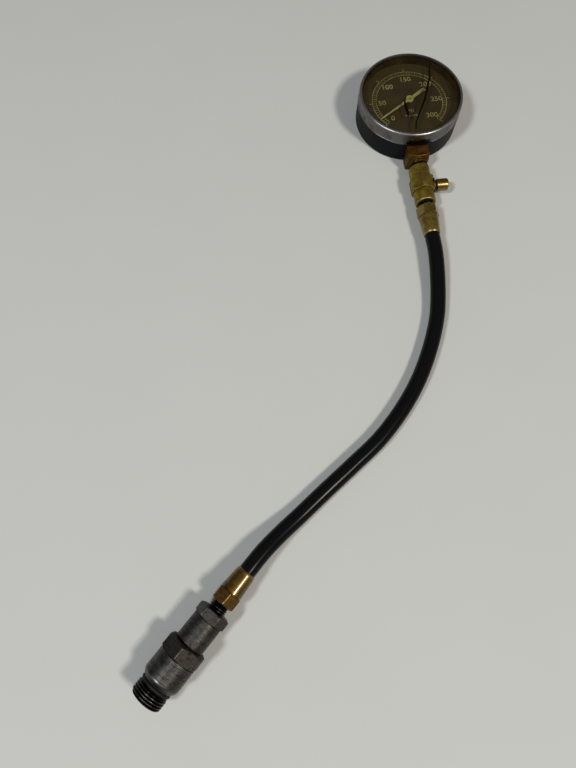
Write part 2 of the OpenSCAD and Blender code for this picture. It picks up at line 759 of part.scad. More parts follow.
// The screwed-in bush with the release seat on its inner end, and a slot that lets the gas out.
module release_bush() {
    color("#80692c") difference() {
        union() {
            on_button(seat_x) cylinder(r = bush_shank_r, h = bush_face - seat_x);
            on_button(valve_af / 2 - 0.6) cylinder(d = bush_d, h = bush_face - valve_af / 2 + 0.6);
            on_button(bush_face - 1) cylinder(r = nose_r, h = nose_end - bush_face + 1);
        }
        on_button(seat_x - 1) cylinder(d = spindle_d + 2 * running, h = nose_end - seat_x + 2);
        on_button(seat_x - 1) translate([0, -vent_w / 2, 0])
            cube([spindle_d / 2 + 0.7, vent_w, nose_end - seat_x + 2]);
    }
}

module release_button() {
    color("#b08f3c") on_button(button_x) difference() {
        rotate_extrude() polygon([[0, 0], [button_d / 2, 0], [button_d / 2, button_len - 0.8],
            [button_d / 2 - 0.8, button_len], [0, button_len]]);
        translate([0, 0, -1]) cylinder(r = skirt_r, h = button_roof - button_x + 1);
        cylinder(d = spindle_d + 2 * seat, h = button_len - 1.2);
    }
}

module release_spindle() {
    color("#9c9a94") {
        on_button(seat_x - seal_t - head_t) cylinder(r = head_r, h = head_t, $fn = 48);
        on_button(seat_x - seal_t - 0.1)
            cylinder(d = spindle_d, h = button_x + button_len - 1.3 - seat_x + seal_t, $fn = 48);
    }
}

module release_seal() {
    color("#202020") on_button(seat_x - seal_t) difference() {
        cylinder(r = head_r - 0.1, h = seal_t, $fn = 48);
        translate([0, 0, -1]) cylinder(d = spindle_d + 0.04, h = seal_t + 2, $fn = 48);
    }
}

module release_spring() {
    color("#8f9092") on_button(bush_face + 0.05)
        coil_spring(spring_r, spring_wire, button_roof - bush_face - 0.1, 4);
}

// A coupling runs from the hose's mouth at z = 0 towards its threaded nipple.
module coupling_ferrule() {
    color("#8f762f") difference() {
        rotate_extrude() polygon([
            [0, 0], [ferrule_small_d / 2 - 0.3, 0], [ferrule_small_d / 2, 0.3],
            [ferrule_big_d / 2, ferrule_len], [spigot_r, ferrule_len],
            [spigot_r, coupling_len - nut_front - flange_t], [0, coupling_len - nut_front - flange_t]]);
        translate([0, 0, -1]) cylinder(r = ferrule_bore_r, h = hose_end_len + 1);
        cylinder(r = tail_r + 0.15, h = coupling_len);
    }
}

module coupling_nut(turn) {
    color("#857033") difference() {
        translate([0, 0, ferrule_len]) hexagon_head(nut_af, nut_len, turn);
        translate([0, 0, ferrule_len - 1])
            cylinder(r = spigot_r + seat, h = nut_len - nut_front + 1);
        cylinder(d = nipple_d + 2 * seat, h = coupling_len + 1);
    }
}

module coupling_nipple() {
    flange_z = coupling_len - nut_front - flange_t;
    ridges = 7;
    pitch = (nipple_len - 1) / ridges;
    color("#2c2926") difference() {
        union() {
            translate([0, 0, 2]) cylinder(r = tail_r - 0.25, h = flange_z);
            for (i = [0:4]) translate([0, 0, 2 + 3 * i]) cylinder(r1 = tail_r - 0.35, r2 = tail_r, h = 1.6);
            translate([0, 0, flange_z]) cylinder(r = flange_r, h = flange_t);
            translate([0, 0, flange_z + flange_t]) cylinder(d = nipple_d, h = nut_front + 1);
            translate([0, 0, coupling_len + 1]) thread(nipple_d / 2, 0.55, pitch, ridges, 0.35);
        }
        cylinder(r = 1.3, h = coupling_len + nipple_len + 1);
    }
}

module coupling_hose_end() {
    color("#161616") difference() {
        cylinder(r = ferrule_bore_r - seat, h = hose_end_len);
        translate([0, 0, -1]) cylinder(r = tail_r + 0.05, h = hose_end_len + 2);
    }
}

module on_upper_coupling() {
    on_stem(hose_start) mirror([0, 0, 1]) children();
}

module upper_nipple() {
    on_upper_coupling() coupling_nipple();
}

module upper_nut() {
    on_upper_coupling() coupling_nut(0);
}

module upper_ferrule() {
    on_upper_coupling() coupling_ferrule();
}

module upper_hose_end() {
    on_upper_coupling() coupling_hose_end();
}

module hose() {
    last = len(hose_route) - 1;
    n = hose_sides;
    tangents = [for (i = [0:last])
        i == 0 ? [0, -1, 0] : i == last ? [-sin(adapter_heading), -cos(adapter_heading), 0]
            : tangent(hose_route, i)];
    rings = [for (i = [0:last]) each concat(
        ring(hose_route[i], tangents[i], hose_d / 2, n),
        ring(hose_route[i], tangents[i], hose_bore / 2, n))];
    faces = concat(
        [for (i = [0:last - 1], k = [0:n - 1])
            let (a = 2 * n * i, b = 2 * n * (i + 1), k2 = (k + 1) % n)
            each [[a + k, b + k, a + k2], [a + k2, b + k, b + k2],
                [a + n + k, a + n + k2, b + n + k], [a + n + k2, b + n + k2, b + n + k]]],
        [for (k = [0:n - 1]) let (k2 = (k + 1) % n) each [[k, k2, n + k], [k2, n + k2, n + k]]],
        [for (k = [0:n - 1]) let (k2 = (k + 1) % n, e = 2 * n * last)
            each [[e + k2, e + k, e + n + k], [e + k2, e + n + k, e + n + k2]]]);
    color("#161616") polyhedron(rings, faces);
}

module lower_hose_end() {
    on_adapter(0) coupling_hose_end();
}

module lower_ferrule() {
    on_adapter(0) coupling_ferrule();
}

module lower_nut() {
    on_adapter(0) coupling_nut(lower_nut_turn);
}

module lower_nipple() {
    on_adapter(0) coupling_nipple();
}

module inner_adapter() {
    color("#6f6d68") on_adapter(0) difference() {
        union() {
            translate([0, 0, inner_start]) hexagon_head(inner_af, inner_hex_len + 0.5, 0);
            translate([0, 0, inner_barrel]) cylinder(d = inner_d, h = inner_len);
            translate([0, 0, inner_end - 1]) cylinder(d = inner_thread_d, h = inner_thread_len + 1);
        }
        translate([0, 0, inner_start - 1])
            cylinder(d = nipple_d + 2 * seat, h = nipple_hole_end - inner_start + 1);
        cylinder(r = core_hole_r, h = thread_tip + 1);
    }
}

module adapter_washer() {
    color("#3a302a") on_adapter(inner_end) difference() {
        cylinder(d = inner_d - 0.4, h = washer_t);
        translate([0, 0, -1]) cylinder(d = inner_thread_d + 2 * seat, h = washer_t + 2);
    }
}

module outer_adapter() {
    color("#6a6965") on_adapter(0) difference() {
        union() {
            translate([0, 0, outer_start])
                hexagon_head(outer_af, outer_hex_len + 0.6, flat_turn + outer_turn);
            translate([0, 0, outer_barrel]) cylinder(d = outer_d, h = outer_len);
            translate([0, 0, outer_end])
                cylinder(d1 = outer_d, d2 = plug_d - 0.6, h = chamfer_len);
            translate([0, 0, outer_end]) cylinder(r = undercut_r, h = plug_start - outer_end);
            translate([0, 0, plug_start]) thread(plug_d / 2, plug_depth, plug_pitch, plug_crests, 0.4);
        }
        translate([0, 0, outer_start - 1])
            cylinder(d = inner_thread_d + 2 * running, h = outer_bore_end - outer_start + 1);
        cylinder(d = plug_bore, h = plug_end + 1);
    }
}

module plug_seal() {
    color("#141414") on_adapter(undercut_start + seal_d / 2)
        rotate_extrude() translate([undercut_r + seal_d / 2, 0]) circle(d = seal_d - 0.04, $fn = 32);
}

module check_body() {
    color("#a58c46") on_adapter(core_start) difference() {
        cylinder(d = core_d, h = core_len, $fn = 48);
        translate([0, 0, -1]) cylinder(d = core_pin_d + 2 * running, h = core_len + 2, $fn = 32);
        for (a = [0:120:240]) rotate([0, 0, a]) translate([core_pin_d / 2 - 0.1, -0.3, -1])
            cube([0.8, 0.6, core_len + 2]);
    }
}

module check_pin() {
    color("#b09a5a") on_adapter(0) {
        translate([0, 0, core_start - core_seal_t - core_head_t])
            cylinder(r = core_head_r, h = core_head_t, $fn = 32);
        translate([0, 0, core_start - core_seal_t - 0.1])
            cylinder(d = core_pin_d, h = core_len + core_spring_len + core_seal_t + 1.4, $fn = 32);
        translate([0, 0, core_start + core_len + core_spring_len])
            cylinder(r = 1.7, h = core_cap_t, $fn = 32);
    }
}

module check_seal() {
    color("#202020") on_adapter(core_start - core_seal_t) difference() {
        cylinder(r = core_head_r, h = core_seal_t, $fn = 32);
        translate([0, 0, -1]) cylinder(d = core_pin_d + 0.04, h = core_seal_t + 2, $fn = 32);
    }
}

module check_spring() {
    color("#8f9092") on_adapter(core_start + core_len + 0.05)
        coil_spring(core_spring_r, core_spring_wire, core_spring_len - 0.1, 4);
}

gauge_case();
bezel_ring();
dial_glass();
glass_gasket();
dial_plate();
dial_posts();
dial_screws();
stop_pin();
pointer();
pointer_arbor();
hairspring();
hairspring_stud();
back_plate();
front_plate();
pillars();
pillar_screws();
movement_screws();
sector_gear();
link();
pressure_tube();
tube_tip();
stem_block();
case_screws();
valve_body();
release_bush();
release_button();
release_spindle();
release_seal();
release_spring();
upper_nipple();
upper_nut();
upper_ferrule();
upper_hose_end();
hose();
lower_hose_end();
lower_ferrule();
lower_nut();
lower_nipple();
inner_adapter();
adapter_washer();
outer_adapter();
plug_seal();
check_body();
check_pin();
check_seal();
check_spring();
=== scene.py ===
"""Compression tester: hose, couplings, valve, adapters and dial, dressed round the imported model.

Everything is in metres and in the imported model's frame: the gauge lies on its back at the origin,
+Z comes out of the dial and the stem leaves the gauge along -Y. Sizes are written in millimetres.
"""

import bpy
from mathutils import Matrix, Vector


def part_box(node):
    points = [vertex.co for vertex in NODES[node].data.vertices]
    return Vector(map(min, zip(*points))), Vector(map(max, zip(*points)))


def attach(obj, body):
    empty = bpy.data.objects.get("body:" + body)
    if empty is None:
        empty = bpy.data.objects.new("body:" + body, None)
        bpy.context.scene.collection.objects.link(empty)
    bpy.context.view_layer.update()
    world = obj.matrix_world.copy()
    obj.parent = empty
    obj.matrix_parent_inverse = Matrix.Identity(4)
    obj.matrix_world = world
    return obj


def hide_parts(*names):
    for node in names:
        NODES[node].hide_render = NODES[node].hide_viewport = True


bl_info = {
    "name": "Compression Tester",
    "version": (1, 0, 0),
    "blender": (4, 5, 0),
    "location": "3D View > Sidebar > Tester",
    "description": "Builds the looks of a compression tester round its solids",
    "category": "Object",
}

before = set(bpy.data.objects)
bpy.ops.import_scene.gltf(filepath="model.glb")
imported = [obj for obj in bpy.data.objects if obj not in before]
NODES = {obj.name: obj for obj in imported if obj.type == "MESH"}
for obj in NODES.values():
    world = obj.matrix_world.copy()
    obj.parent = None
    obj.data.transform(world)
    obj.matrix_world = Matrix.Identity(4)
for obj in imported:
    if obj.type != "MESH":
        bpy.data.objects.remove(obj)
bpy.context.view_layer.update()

from collections import namedtuple
from math import cos, degrees, exp, hypot, pi, radians, sin, tan

import bmesh
import bpy
from bpy.props import FloatProperty, FloatVectorProperty, IntProperty, PointerProperty
from mathutils import Matrix, Vector

MM = 0.001


# Places

def place(origin, axis, side):
    """A matrix in millimetres whose Z runs along axis and whose X is side."""
    z = Vector(axis).normalized()
    x = Vector(side).normalized()
    y = z.cross(x)
    m = Matrix((x, y, z)).transposed().to_4x4()
    m.translation = Vector(origin)
    return m


def reach(node, where):
    """How far a CAD node reaches along a place's axis, in millimetres."""
    back = where.inverted()
    points = [back @ (v.co / MM) for v in NODES[node].data.vertices]
    along = [p.z for p in points]
    return min(along), max(along)


def middle(node):
    low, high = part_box(node)
    return (low + high) / 2 / MM


STEM_Z = middle("upper_ferrule").z
HOSE_START = -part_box("upper_ferrule")[0].y / MM
ADAPTER_AXIS = (-sin(radians(45)), -cos(radians(45)), 0)
ADAPTER_SIDE = (cos(radians(45)), -sin(radians(45)), 0)
ADAPTER_START = (-134.5, -293, middle("lower_ferrule").z)
BUTTON_Y = middle("release_button").y

STEM = place((0, 0, STEM_Z), (0, -1, 0), (1, 0, 0))
UPPER_COUPLING = place((0, -HOSE_START, STEM_Z), (0, 1, 0), (-1, 0, 0))
LOWER_COUPLING = place(ADAPTER_START, ADAPTER_AXIS, ADAPTER_SIDE)
BUTTON = place((0, BUTTON_Y, STEM_Z), (1, 0, 0), (0, 1, 0))
DIAL_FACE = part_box("dial_plate")[1].z / MM
GLASS_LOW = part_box("dial_glass")[0].z / MM
GLASS_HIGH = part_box("dial_glass")[1].z / MM

# The route of the hose's middle line, the same points as in the part's source.
HOSE_ROUTE = [
    (0, -HOSE_START, STEM_Z), (0, -111, STEM_Z), (-1, -124, 7.5), (-3, -140, 5.8), (-6.5, -156, 4.9),
    (-14, -175, 4.8), (-24.5, -194.5, 4.8), (-37.5, -212, 4.8), (-53, -228, 4.8), (-70.5, -241.5, 4.8),
    (-88, -254.5, 4.8), (-103, -266, 5.4), (-115.5, -275.5, 7.7), (-125.5, -284, 10.5), ADAPTER_START,
]

# The camera that took the photograph, fitted to it.
CAMERA_AT = (-111.7, -295.6, 332.0)
CAMERA_DOWN = radians(71.94)
CAMERA_HEADING = radians(5.0)
CAMERA_ROLL = radians(-0.83)
CAMERA_LENS = 27.047
SENSOR = 36.0


# Properties

class HoseSettings(bpy.types.PropertyGroup):
    diameter: FloatProperty(name="Diameter", description="Outer diameter of the hose", default=0.0095,
                            min=0.008, max=0.0097, subtype='DISTANCE', unit='LENGTH')
    colour: FloatVectorProperty(name="Rubber", description="Colour of the hose's rubber", size=3,
                                default=(0.0042, 0.0042, 0.0044), subtype='COLOR')


class DialSettings(bpy.types.PropertyGroup):
    scale_radius: FloatProperty(name="Scale radius", description="Radius of the scale's outer line",
                                default=0.0253, subtype='DISTANCE', unit='LENGTH')
    scale_width: FloatProperty(name="Scale width", description="Distance between the scale's two lines",
                               default=0.0027, subtype='DISTANCE', unit='LENGTH')
    number_height: FloatProperty(name="Number height", description="Height of the dial's numbers",
                                 default=0.0038, subtype='DISTANCE', unit='LENGTH')
    step: IntProperty(name="Pressure step", description="Pressure from one number to the next", default=50)
    ticks: IntProperty(name="Ticks", description="Ticks from one number to the next", default=10)
    print_colour: FloatVectorProperty(name="Print", description="Colour of the dial's print", size=3,
                                      default=(0.430, 0.400, 0.140), subtype='COLOR')


class StageSettings(bpy.types.PropertyGroup):
    floor_colour: FloatVectorProperty(name="Floor", description="Colour of the floor", size=3,
                                      default=(0.520, 0.515, 0.480), subtype='COLOR')
    key_power: FloatProperty(name="Key light", description="Power of the light on the right, in watts",
                             default=32.0, min=0.0)
    fill_power: FloatProperty(name="Fill light", description="Power of the light on the left, in watts",
                              default=27.0, min=0.0)


# Meshes

Station = namedtuple("Station", "along radius wear form")

# Edges that turn by more than this stay sharp.
SHARP = radians(32)

# How far a rounded corner's shading eases into the faces beside it.
EASING = 0.25


def rounded(corners, steps=4):
    """Rounds the corners of a profile, each (along, radius, rounding), and marks the rounds as worn.

    A round that sticks out is marked 1, where metal wears bright. One that goes in is marked -1,
    where dirt stays and shade is painted. A profile that starts and ends on the axis keeps those two points.
    """
    stations = []
    count = len(corners)
    open_ends = corners[0][1] == 0 and corners[-1][1] == 0
    for i, (along, radius, size) in enumerate(corners):
        here = Vector((along, radius))
        before = Vector(corners[i - 1][:2]) - here
        after = Vector(corners[(i + 1) % count][:2]) - here
        if size == 0 or (open_ends and i in (0, count - 1)):
            stations.append(Station(along, radius, 0, None))
            continue
        before_len, after_len = before.length, after.length
        before.normalize()
        after.normalize()
        half = before.angle(after) / 2
        cut = min(size / tan(half), before_len * 0.48, after_len * 0.48)
        size = cut * tan(half)
        turn = -1 if before.x * after.y - before.y * after.x < 0 else 1
        centre = here + (before + after).normalized() * (size / sin(half))
        start = here + before * cut - centre
        sweep = (pi - 2 * half) * (1 if start.cross(here + after * cut - centre) > 0 else -1)
        easing = min(cut + EASING, before_len * 0.49)
        stations.append(Station(*(here + before * easing), 0, None))
        for k in range(steps + 1):
            point = centre + Matrix.Rotation(sweep * k / steps, 2) @ start
            stations.append(Station(point.x, point.y, turn, None))
        easing = min(cut + EASING, after_len * 0.49)
        stations.append(Station(*(here + after * easing), 0, None))
    return stations


def cone(start, end, form, steps=7):
    """Stations along a straight slope from start to end, each (along, radius)."""
    a, b = Vector(start), Vector(end)
    return [Station(*a.lerp(b, k / steps), 0, form) for k in range(steps + 1)]


def hexagon(flats, turn=0.0):
    """A form that cuts a turned profile down to a hexagon, with worn corners and arc edges."""
    def form(angle, along, radius):
        off = (degrees(angle) - turn + 30) % 60 - 30
        soft = hypot(off, 1.1)
        flat = flats / 2 / cos(radians(30 - soft))
        ridge = exp(-((radius - flat) / 0.12) ** 2) * 0.8
        corner = exp(-(off / 2.2) ** 2) if radius > flat else 0
        return min(radius, flat), max(ridge, corner)
    return form


def helix(start, end, pitch, root, crest):
    """A form with one right-handed thread from start to end, with flat worn crests."""
    def form(angle, along, radius):
        phase = ((along - start) / pitch - angle / (2 * pi)) % 1
        height = max(0, min(1, (0.5 - abs(phase - 0.5) - 0.14) / 0.22))
        run_out = max(0, min(1, (along - start) / pitch, (end - along) / pitch * 1.5))
        return root + (crest - root) * height * run_out, height * run_out * 2 - 1
    return form


def thread(start, end, pitch, crest, depth, rings_a_turn):
    """Stations of a thread from start to end, close enough to show its crests."""
    form = helix(start, end, pitch, crest - depth, crest)
    steps = int((end - start) / pitch * rings_a_turn)
    return [Station(start + (end - start) * (k + 1) / (steps + 1), crest, 0, form) for k in range(steps)]


SECTOR = (-30, -24, -18, -13, -9, -6, -4, -2.5, -1.2, 0, 1.2, 2.5, 4, 6, 9, 13, 18, 24)


def turned(name, where, stations, turn=0.0):
    """A closed piece turned round a place's Z axis. Its angles are closest where a hexagon has corners."""
    angles = [radians(turn + 60 * k + a) for k in range(6) for a in SECTOR]
    bm = bmesh.new()
    wear = bm.verts.layers.float.new("wear")
    rings = []
    for station in stations:
        if station.radius == 0:
            vert = bm.verts.new(where @ Vector((0, 0, station.along)) * MM)
            rings.append([vert] * len(angles))
            continue
        ring = []
        for angle in angles:
            radius, worn = station.radius, station.wear
            if station.form:
                radius, worn_here = station.form(angle, station.along, radius)
                worn = worn_here if worn == 0 else worn
            point = Vector((radius * cos(angle), radius * sin(angle), station.along))
            vert = bm.verts.new(where @ point * MM)
            vert[wear] = worn
            ring.append(vert)
        rings.append(ring)
    closed = stations[0].radius > 0
    for i in range(len(rings) if closed else len(rings) - 1):
        a, b = rings[i], rings[(i + 1) % len(rings)]
        for k in range(len(angles)):
            n = (k + 1) % len(angles)
            corners = []
            for vert in (a[k], a[n], b[n], b[k]):
                if vert not in corners:
                    corners.append(vert)
            if len(corners) > 2:
                bm.faces.new(corners)
    return finished(name, bm)


def finished(name, bm):
    """Turns a bmesh into an object with outward faces and smooth shading between sharp edges."""
    bmesh.ops.remove_doubles(bm, verts=bm.verts, dist=1e-7)
    bmesh.ops.recalc_face_normals(bm, faces=bm.faces)
    mesh = bpy.data.meshes.new(name)
    bm.to_mesh(mesh)
    bm.free()
    piece = bpy.data.objects.new(name, mesh)
    bpy.context.scene.collection.objects.link(piece)
    mesh.shade_smooth()
    mesh.set_sharp_from_angle(angle=SHARP)
    return piece


def baked(thing):
    """The mesh of an object with its modifiers applied."""
    bpy.context.view_layer.update()
    return bpy.data.meshes.new_from_object(thing.evaluated_get(bpy.context.evaluated_depsgraph_get()))


def bar(name, rows):
    """A closed bar with four sides, through rows of four points in millimetres."""
    bm = bmesh.new()
    rows = [[bm.verts.new(Vector(point) * MM) for point in row] for row in rows]
    for a, b in zip(rows, rows[1:]):
        for k in range(4):
            bm.faces.new((a[k], a[(k + 1) % 4], b[(k + 1) % 4], b[k]))
    bm.faces.new(rows[0])
    bm.faces.new(rows[-1])
    return finished(name, bm)


def cylinder(where, start, end, radius, shift=0.0):
    """A plain cutter along a place's axis, moved sideways by shift."""
    bm = bmesh.new()
    bmesh.ops.create_cone(bm, cap_ends=True, segments=64, radius1=radius, radius2=radius, depth=end - start)
    bm.transform(where @ Matrix.Translation((shift, 0, (start + end) / 2)))
    bm.transform(Matrix.Scale(MM, 4))
    return finished("cutter", bm)


def cut(piece, cutters):
    """Cuts the cutters out of a piece and removes them."""
    for cutter in cutters:
        step = piece.modifiers.new("cut", 'BOOLEAN')
        step.object = cutter
        step.solver = 'EXACT'
    result = baked(piece)
    piece.modifiers.clear()
    piece.data = result
    piece.data.shade_smooth()
    piece.data.set_sharp_from_angle(angle=SHARP)
    for cutter in cutters:
        bpy.data.objects.remove(cutter)
    return piece


def dress(piece, material, body, slot, *nodes):
    """Gives a piece its material and its body, and the nodes that it stands for."""
    piece.data.materials.clear()
    piece.data.materials.append(material)
    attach(piece, body)
    if nodes:
        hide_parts(*nodes)
    return piece


# Materials

def linear(hex_colour):
    """An sRGB hex colour as linear RGBA."""
    parts = [int(hex_colour[i:i + 2], 16) / 255 for i in (1, 3, 5)]
    return [c / 12.92 if c <= 0.04045 else ((c + 0.055) / 1.055) ** 2.4 for c in parts] + [1]


def add(tree, kind, settings=None, inputs=None, links=None):
    """Adds one node with its settings, its input values and its links from other sockets."""
    node = tree.nodes.new(kind)
    for key, value in (settings or {}).items():
        setattr(node, key, value)
    for key, value in (inputs or {}).items():
        node.inputs[key].default_value = value
    for key, socket in (links or {}).items():
        tree.links.new(socket, node.inputs[key])
    return node


def ramp(tree, factor, stops):
    """A colour ramp over a factor, with stops of (position, colour or grey)."""
    node = add(tree, "ShaderNodeValToRGB", links={"Fac": factor})
    while len(node.color_ramp.elements) < len(stops):
        node.color_ramp.elements.new(0.5)
    for element, (position, colour) in zip(node.color_ramp.elements, stops):
        element.position = position
        element.color = linear(colour) if isinstance(colour, str) else (colour, colour, colour, 1)
    return node.outputs["Color"]


def blend(tree, factor, low, high):
    """Mixes two colours, each a socket or RGBA, by a factor that is a socket or a number."""
    node = add(tree, "ShaderNodeMix", {"data_type": 'RGBA'})
    for index, value in ((0, factor), (6, low), (7, high)):
        if isinstance(value, bpy.types.NodeSocket):
            tree.links.new(value, node.inputs[index])
        else:
            node.inputs[index].default_value = value
    return node.outputs[2]


def new_material(name):
    """A material with an empty Principled shader, and its object coordinates."""
    material = bpy.data.materials.new(name)
    material.use_nodes = True
    tree = material.node_tree
    shader = tree.nodes["Principled BSDF"]
    coordinates = add(tree, "ShaderNodeTexCoord").outputs["Object"]
    return material, tree, shader, coordinates


def emboss(tree, shader, height, strength, depth_mm=0.1):
    """Raises a surface by a height socket, in bumps of up to depth_mm."""
    bump = add(tree, "ShaderNodeBump", inputs={"Strength": strength, "Distance": depth_mm * MM},
               links={"Height": height})
    tree.links.new(bump.outputs["Normal"], shader.inputs["Normal"])
    return bump


def noise(tree, coordinates, size_mm, detail=3.0, roughness=0.55):
    """Noise whose blotches are about size_mm across."""
    return add(tree, "ShaderNodeTexNoise", inputs={"Scale": 1 / (size_mm * MM), "Detail": detail,
               "Roughness": roughness}, links={"Vector": coordinates}).outputs["Fac"]


def stretched(tree, coordinates, heading, along, across):
    """Coordinates turned so that X runs along a heading in the XY plane, and scaled along and across it."""
    turned_to = add(tree, "ShaderNodeMapping", {"vector_type": 'POINT'},
                    {"Rotation": (0, 0, -heading)}, {"Vector": coordinates}).outputs["Vector"]
    return add(tree, "ShaderNodeMapping", {"vector_type": 'POINT'},
               {"Scale": (along, across, across)}, {"Vector": turned_to}).outputs["Vector"]


def worn_metal(name, heading, colours, dirt_and_shade, shine, roughness=(0.24, 0.46), blotch_mm=3.0, lines=0.35,
               dirt_amount=0.55, tint=None, wear=0.3, soft_mm=0, film=0.0):
    """Turned metal, tarnished in blotches, with tool marks round its axis, lighter worn edges and painted
    shade in its hollows.

    colours are three hex tones of the tarnish, the next is the tone of its dirt specks and of the painted
    shade in its hollows, and shine that of its edges.
    soft_mm rounds the edges of a solid that has sharp ones, and finds its worn edges by them.
    film is how much of a thin film of old oil lies on it, which makes its highlights paler.
    """
    material, tree, shader, coordinates = new_material(name)
    patches = noise(tree, coordinates, blotch_mm, 4, 0.6)
    colour = ramp(tree, patches, [(0.36, colours[0]), (0.5, colours[1]), (0.64, colours[2])])
    if tint:
        large = ramp(tree, noise(tree, coordinates, 9, 2), [(0.46, 0.0), (0.62, 0.75)])
        colour = blend(tree, large, colour, linear(tint))
    marks = noise(tree, stretched(tree, coordinates, heading, 1, 0.03), 0.22, 2, 0.5)
    colour = blend(tree, ramp(tree, marks, [(0.5, 0.0), (0.8, lines * 0.5)]), colour, linear(shine))
    grime = ramp(tree, noise(tree, coordinates, 0.8, 3, 0.7), [(0.56, 0.0), (0.68, dirt_amount)])
    colour = blend(tree, grime, colour, linear(dirt_and_shade))
    worn = add(tree, "ShaderNodeAttribute", {"attribute_name": "wear"}).outputs["Fac"]
    normal = None
    if soft_mm:
        normal = add(tree, "ShaderNodeBevel", inputs={"Radius": soft_mm * MM}).outputs["Normal"]
        flat = add(tree, "ShaderNodeNewGeometry").outputs["Normal"]
        alike = add(tree, "ShaderNodeVectorMath", {"operation": 'DOT_PRODUCT'}, links={0: normal, 1: flat})
        worn = add(tree, "ShaderNodeMapRange", inputs={"From Min": 0.99, "From Max": 0.8},
                   links={"Value": alike.outputs["Value"]}).outputs["Result"]
    broken = noise(tree, coordinates, 1.1, 3)
    edge = add(tree, "ShaderNodeMath", {"operation": 'MULTIPLY', "use_clamp": True},
               links={0: worn, 1: broken})
    edge = ramp(tree, edge.outputs[0], [(0.22, 0.0), (0.5, wear)])
    colour = blend(tree, edge, colour, linear(shine))
    # Painted shade: rounds that go in are darkened to the dirt tone, both as dirt and as the shade in
    # hollows and joints.
    inner = add(tree, "ShaderNodeMath", {"operation": 'MULTIPLY', "use_clamp": True}, {1: -1.6}, {0: worn})
    colour = blend(tree, inner.outputs[0], colour, linear(dirt_and_shade))
    tree.links.new(colour, shader.inputs["Base Color"])
    rough = ramp(tree, noise(tree, coordinates, 2, 4), [(0.35, roughness[0]), (0.65, roughness[1])])
    rough = blend(tree, edge, rough, (0.3, 0.3, 0.3, 1))
    tree.links.new(rough, shader.inputs["Roughness"])
    pits = noise(tree, coordinates, 0.6, 4, 0.7)
    height = add(tree, "ShaderNodeMath", {"operation": 'MULTIPLY_ADD'}, {1: lines}, {0: marks, 2: pits})
    bump = emboss(tree, shader, height.outputs[0], 0.22, 0.12)
    if normal:
        tree.links.new(normal, bump.inputs["Normal"])
    shader.inputs["Metallic"].default_value = 1.0
    shader.inputs["Coat Weight"].default_value = film
    shader.inputs["Coat Roughness"].default_value = 0.16
    return material


def plain_metal(name, colour, roughness, size_mm=1.5):
    """Machined metal with a faint cloudiness, for the small pieces inside."""
    material, tree, shader, coordinates = new_material(name)
    cloud = noise(tree, coordinates, size_mm)
    dark = [c * 0.72 for c in linear(colour)[:3]] + [1]
    tree.links.new(blend(tree, cloud, dark, linear(colour)), shader.inputs["Base Color"])
    rough = ramp(tree, cloud, [(0.3, roughness - 0.06), (0.7, roughness + 0.1)])
    tree.links.new(rough, shader.inputs["Roughness"])
    shader.inputs["Metallic"].default_value = 1.0
    return material


STEM_HEADING = pi / 2
ADAPTER_HEADING = radians(45)


def stem_block_brass():
    """Sawn and turned brass bar, heat-tarnished: dark brown, redder in patches, rubbed edges, and the stub
    before the valve painted near black as shade.
    """
    material = worn_metal("StemBlockBrass", STEM_HEADING, ("#5d4419", "#6c4f1f", "#503515"), "#20130a",
                          "#a88a55", (0.4, 0.6), tint="#5c2f17", wear=0.6, soft_mm=0.35)
    tree = material.node_tree
    base = tree.nodes["Principled BSDF"].inputs["Base Color"]
    coordinates = tree.nodes["Texture Coordinate"].outputs["Object"]
    # Painted shade: the stub in the gap before the valve's collar is darkened near black.
    stub = spot(tree, coordinates, (0, -51.0, STEM_Z), 7.0, 0.4)
    tree.links.new(blend(tree, stub, base.links[0].from_socket, linear("#100905")), base)
    return material


def valve_brass():
    """Turned hexagon brass, handled for years: dull olive gold, browner in its blotches."""
    return worn_metal("ValveBrass", STEM_HEADING, ("#8e782c", "#9c8736", "#7a6525"), "#241b0c", "#b7a472",
                      (0.42, 0.6), tint="#785a24")


def button_brass():
    """Turned brass button, rubbed bright by thumbs."""
    return worn_metal("ButtonBrass", 0.0, ("#7c6229", "#886e33", "#6a5421"), "#2a1d0c", "#c9b280",
                      (0.28, 0.36), 4.0, 0.4, 0.3, film=0.5)


def coupling_brass(heading, colours, tint):
    """Pressed and turned brass of the hose couplings: golden brown, darker in its hollows with dirt and
    painted shade.
    """
    return worn_metal("CouplingBrass", heading, colours, "#20170b", "#cdb77c",
                      (0.38, 0.52), 4.0, 0.35, 0.45, tint=tint, film=0.6)


def adapter_steel():
    """Turned steel with thin plating, pitted and specked with rust."""
    return worn_metal("AdapterSteel", ADAPTER_HEADING, ("#3a3934", "#454340", "#302e2a"), "#22160d",
                      "#837f75", (0.36, 0.54), 1.2, 0.5, 0.95, tint="#39332c")


def plug_steel():
    """Turned steel with fine tool lines, worn bright where it is gripped."""
    return worn_metal("PlugSteel", ADAPTER_HEADING, ("#363431", "#454340", "#2b2a28"), "#161412", "#8f8c85",
                      (0.36, 0.5), 3.0, 0.9, 0.35)


def flats_steel():
    """Milled flats of the plug adapter, browner and duller than its turned barrel."""
    return worn_metal("FlatsSteel", ADAPTER_HEADING, ("#34312b", "#3d3932", "#2b2824"), "#14110d", "#8b867a",
                      (0.52, 0.68), 2.0, 0.3, 0.6)


def thread_steel(name, heading, wear):
    """Cut steel thread, black with oil between its crests."""
    return worn_metal(name, heading, ("#141311", "#1d1b19", "#0f0e0d"), "#070706", "#7d776c",
                      (0.32, 0.52), 1.5, 0.2, 0.5, wear=wear)


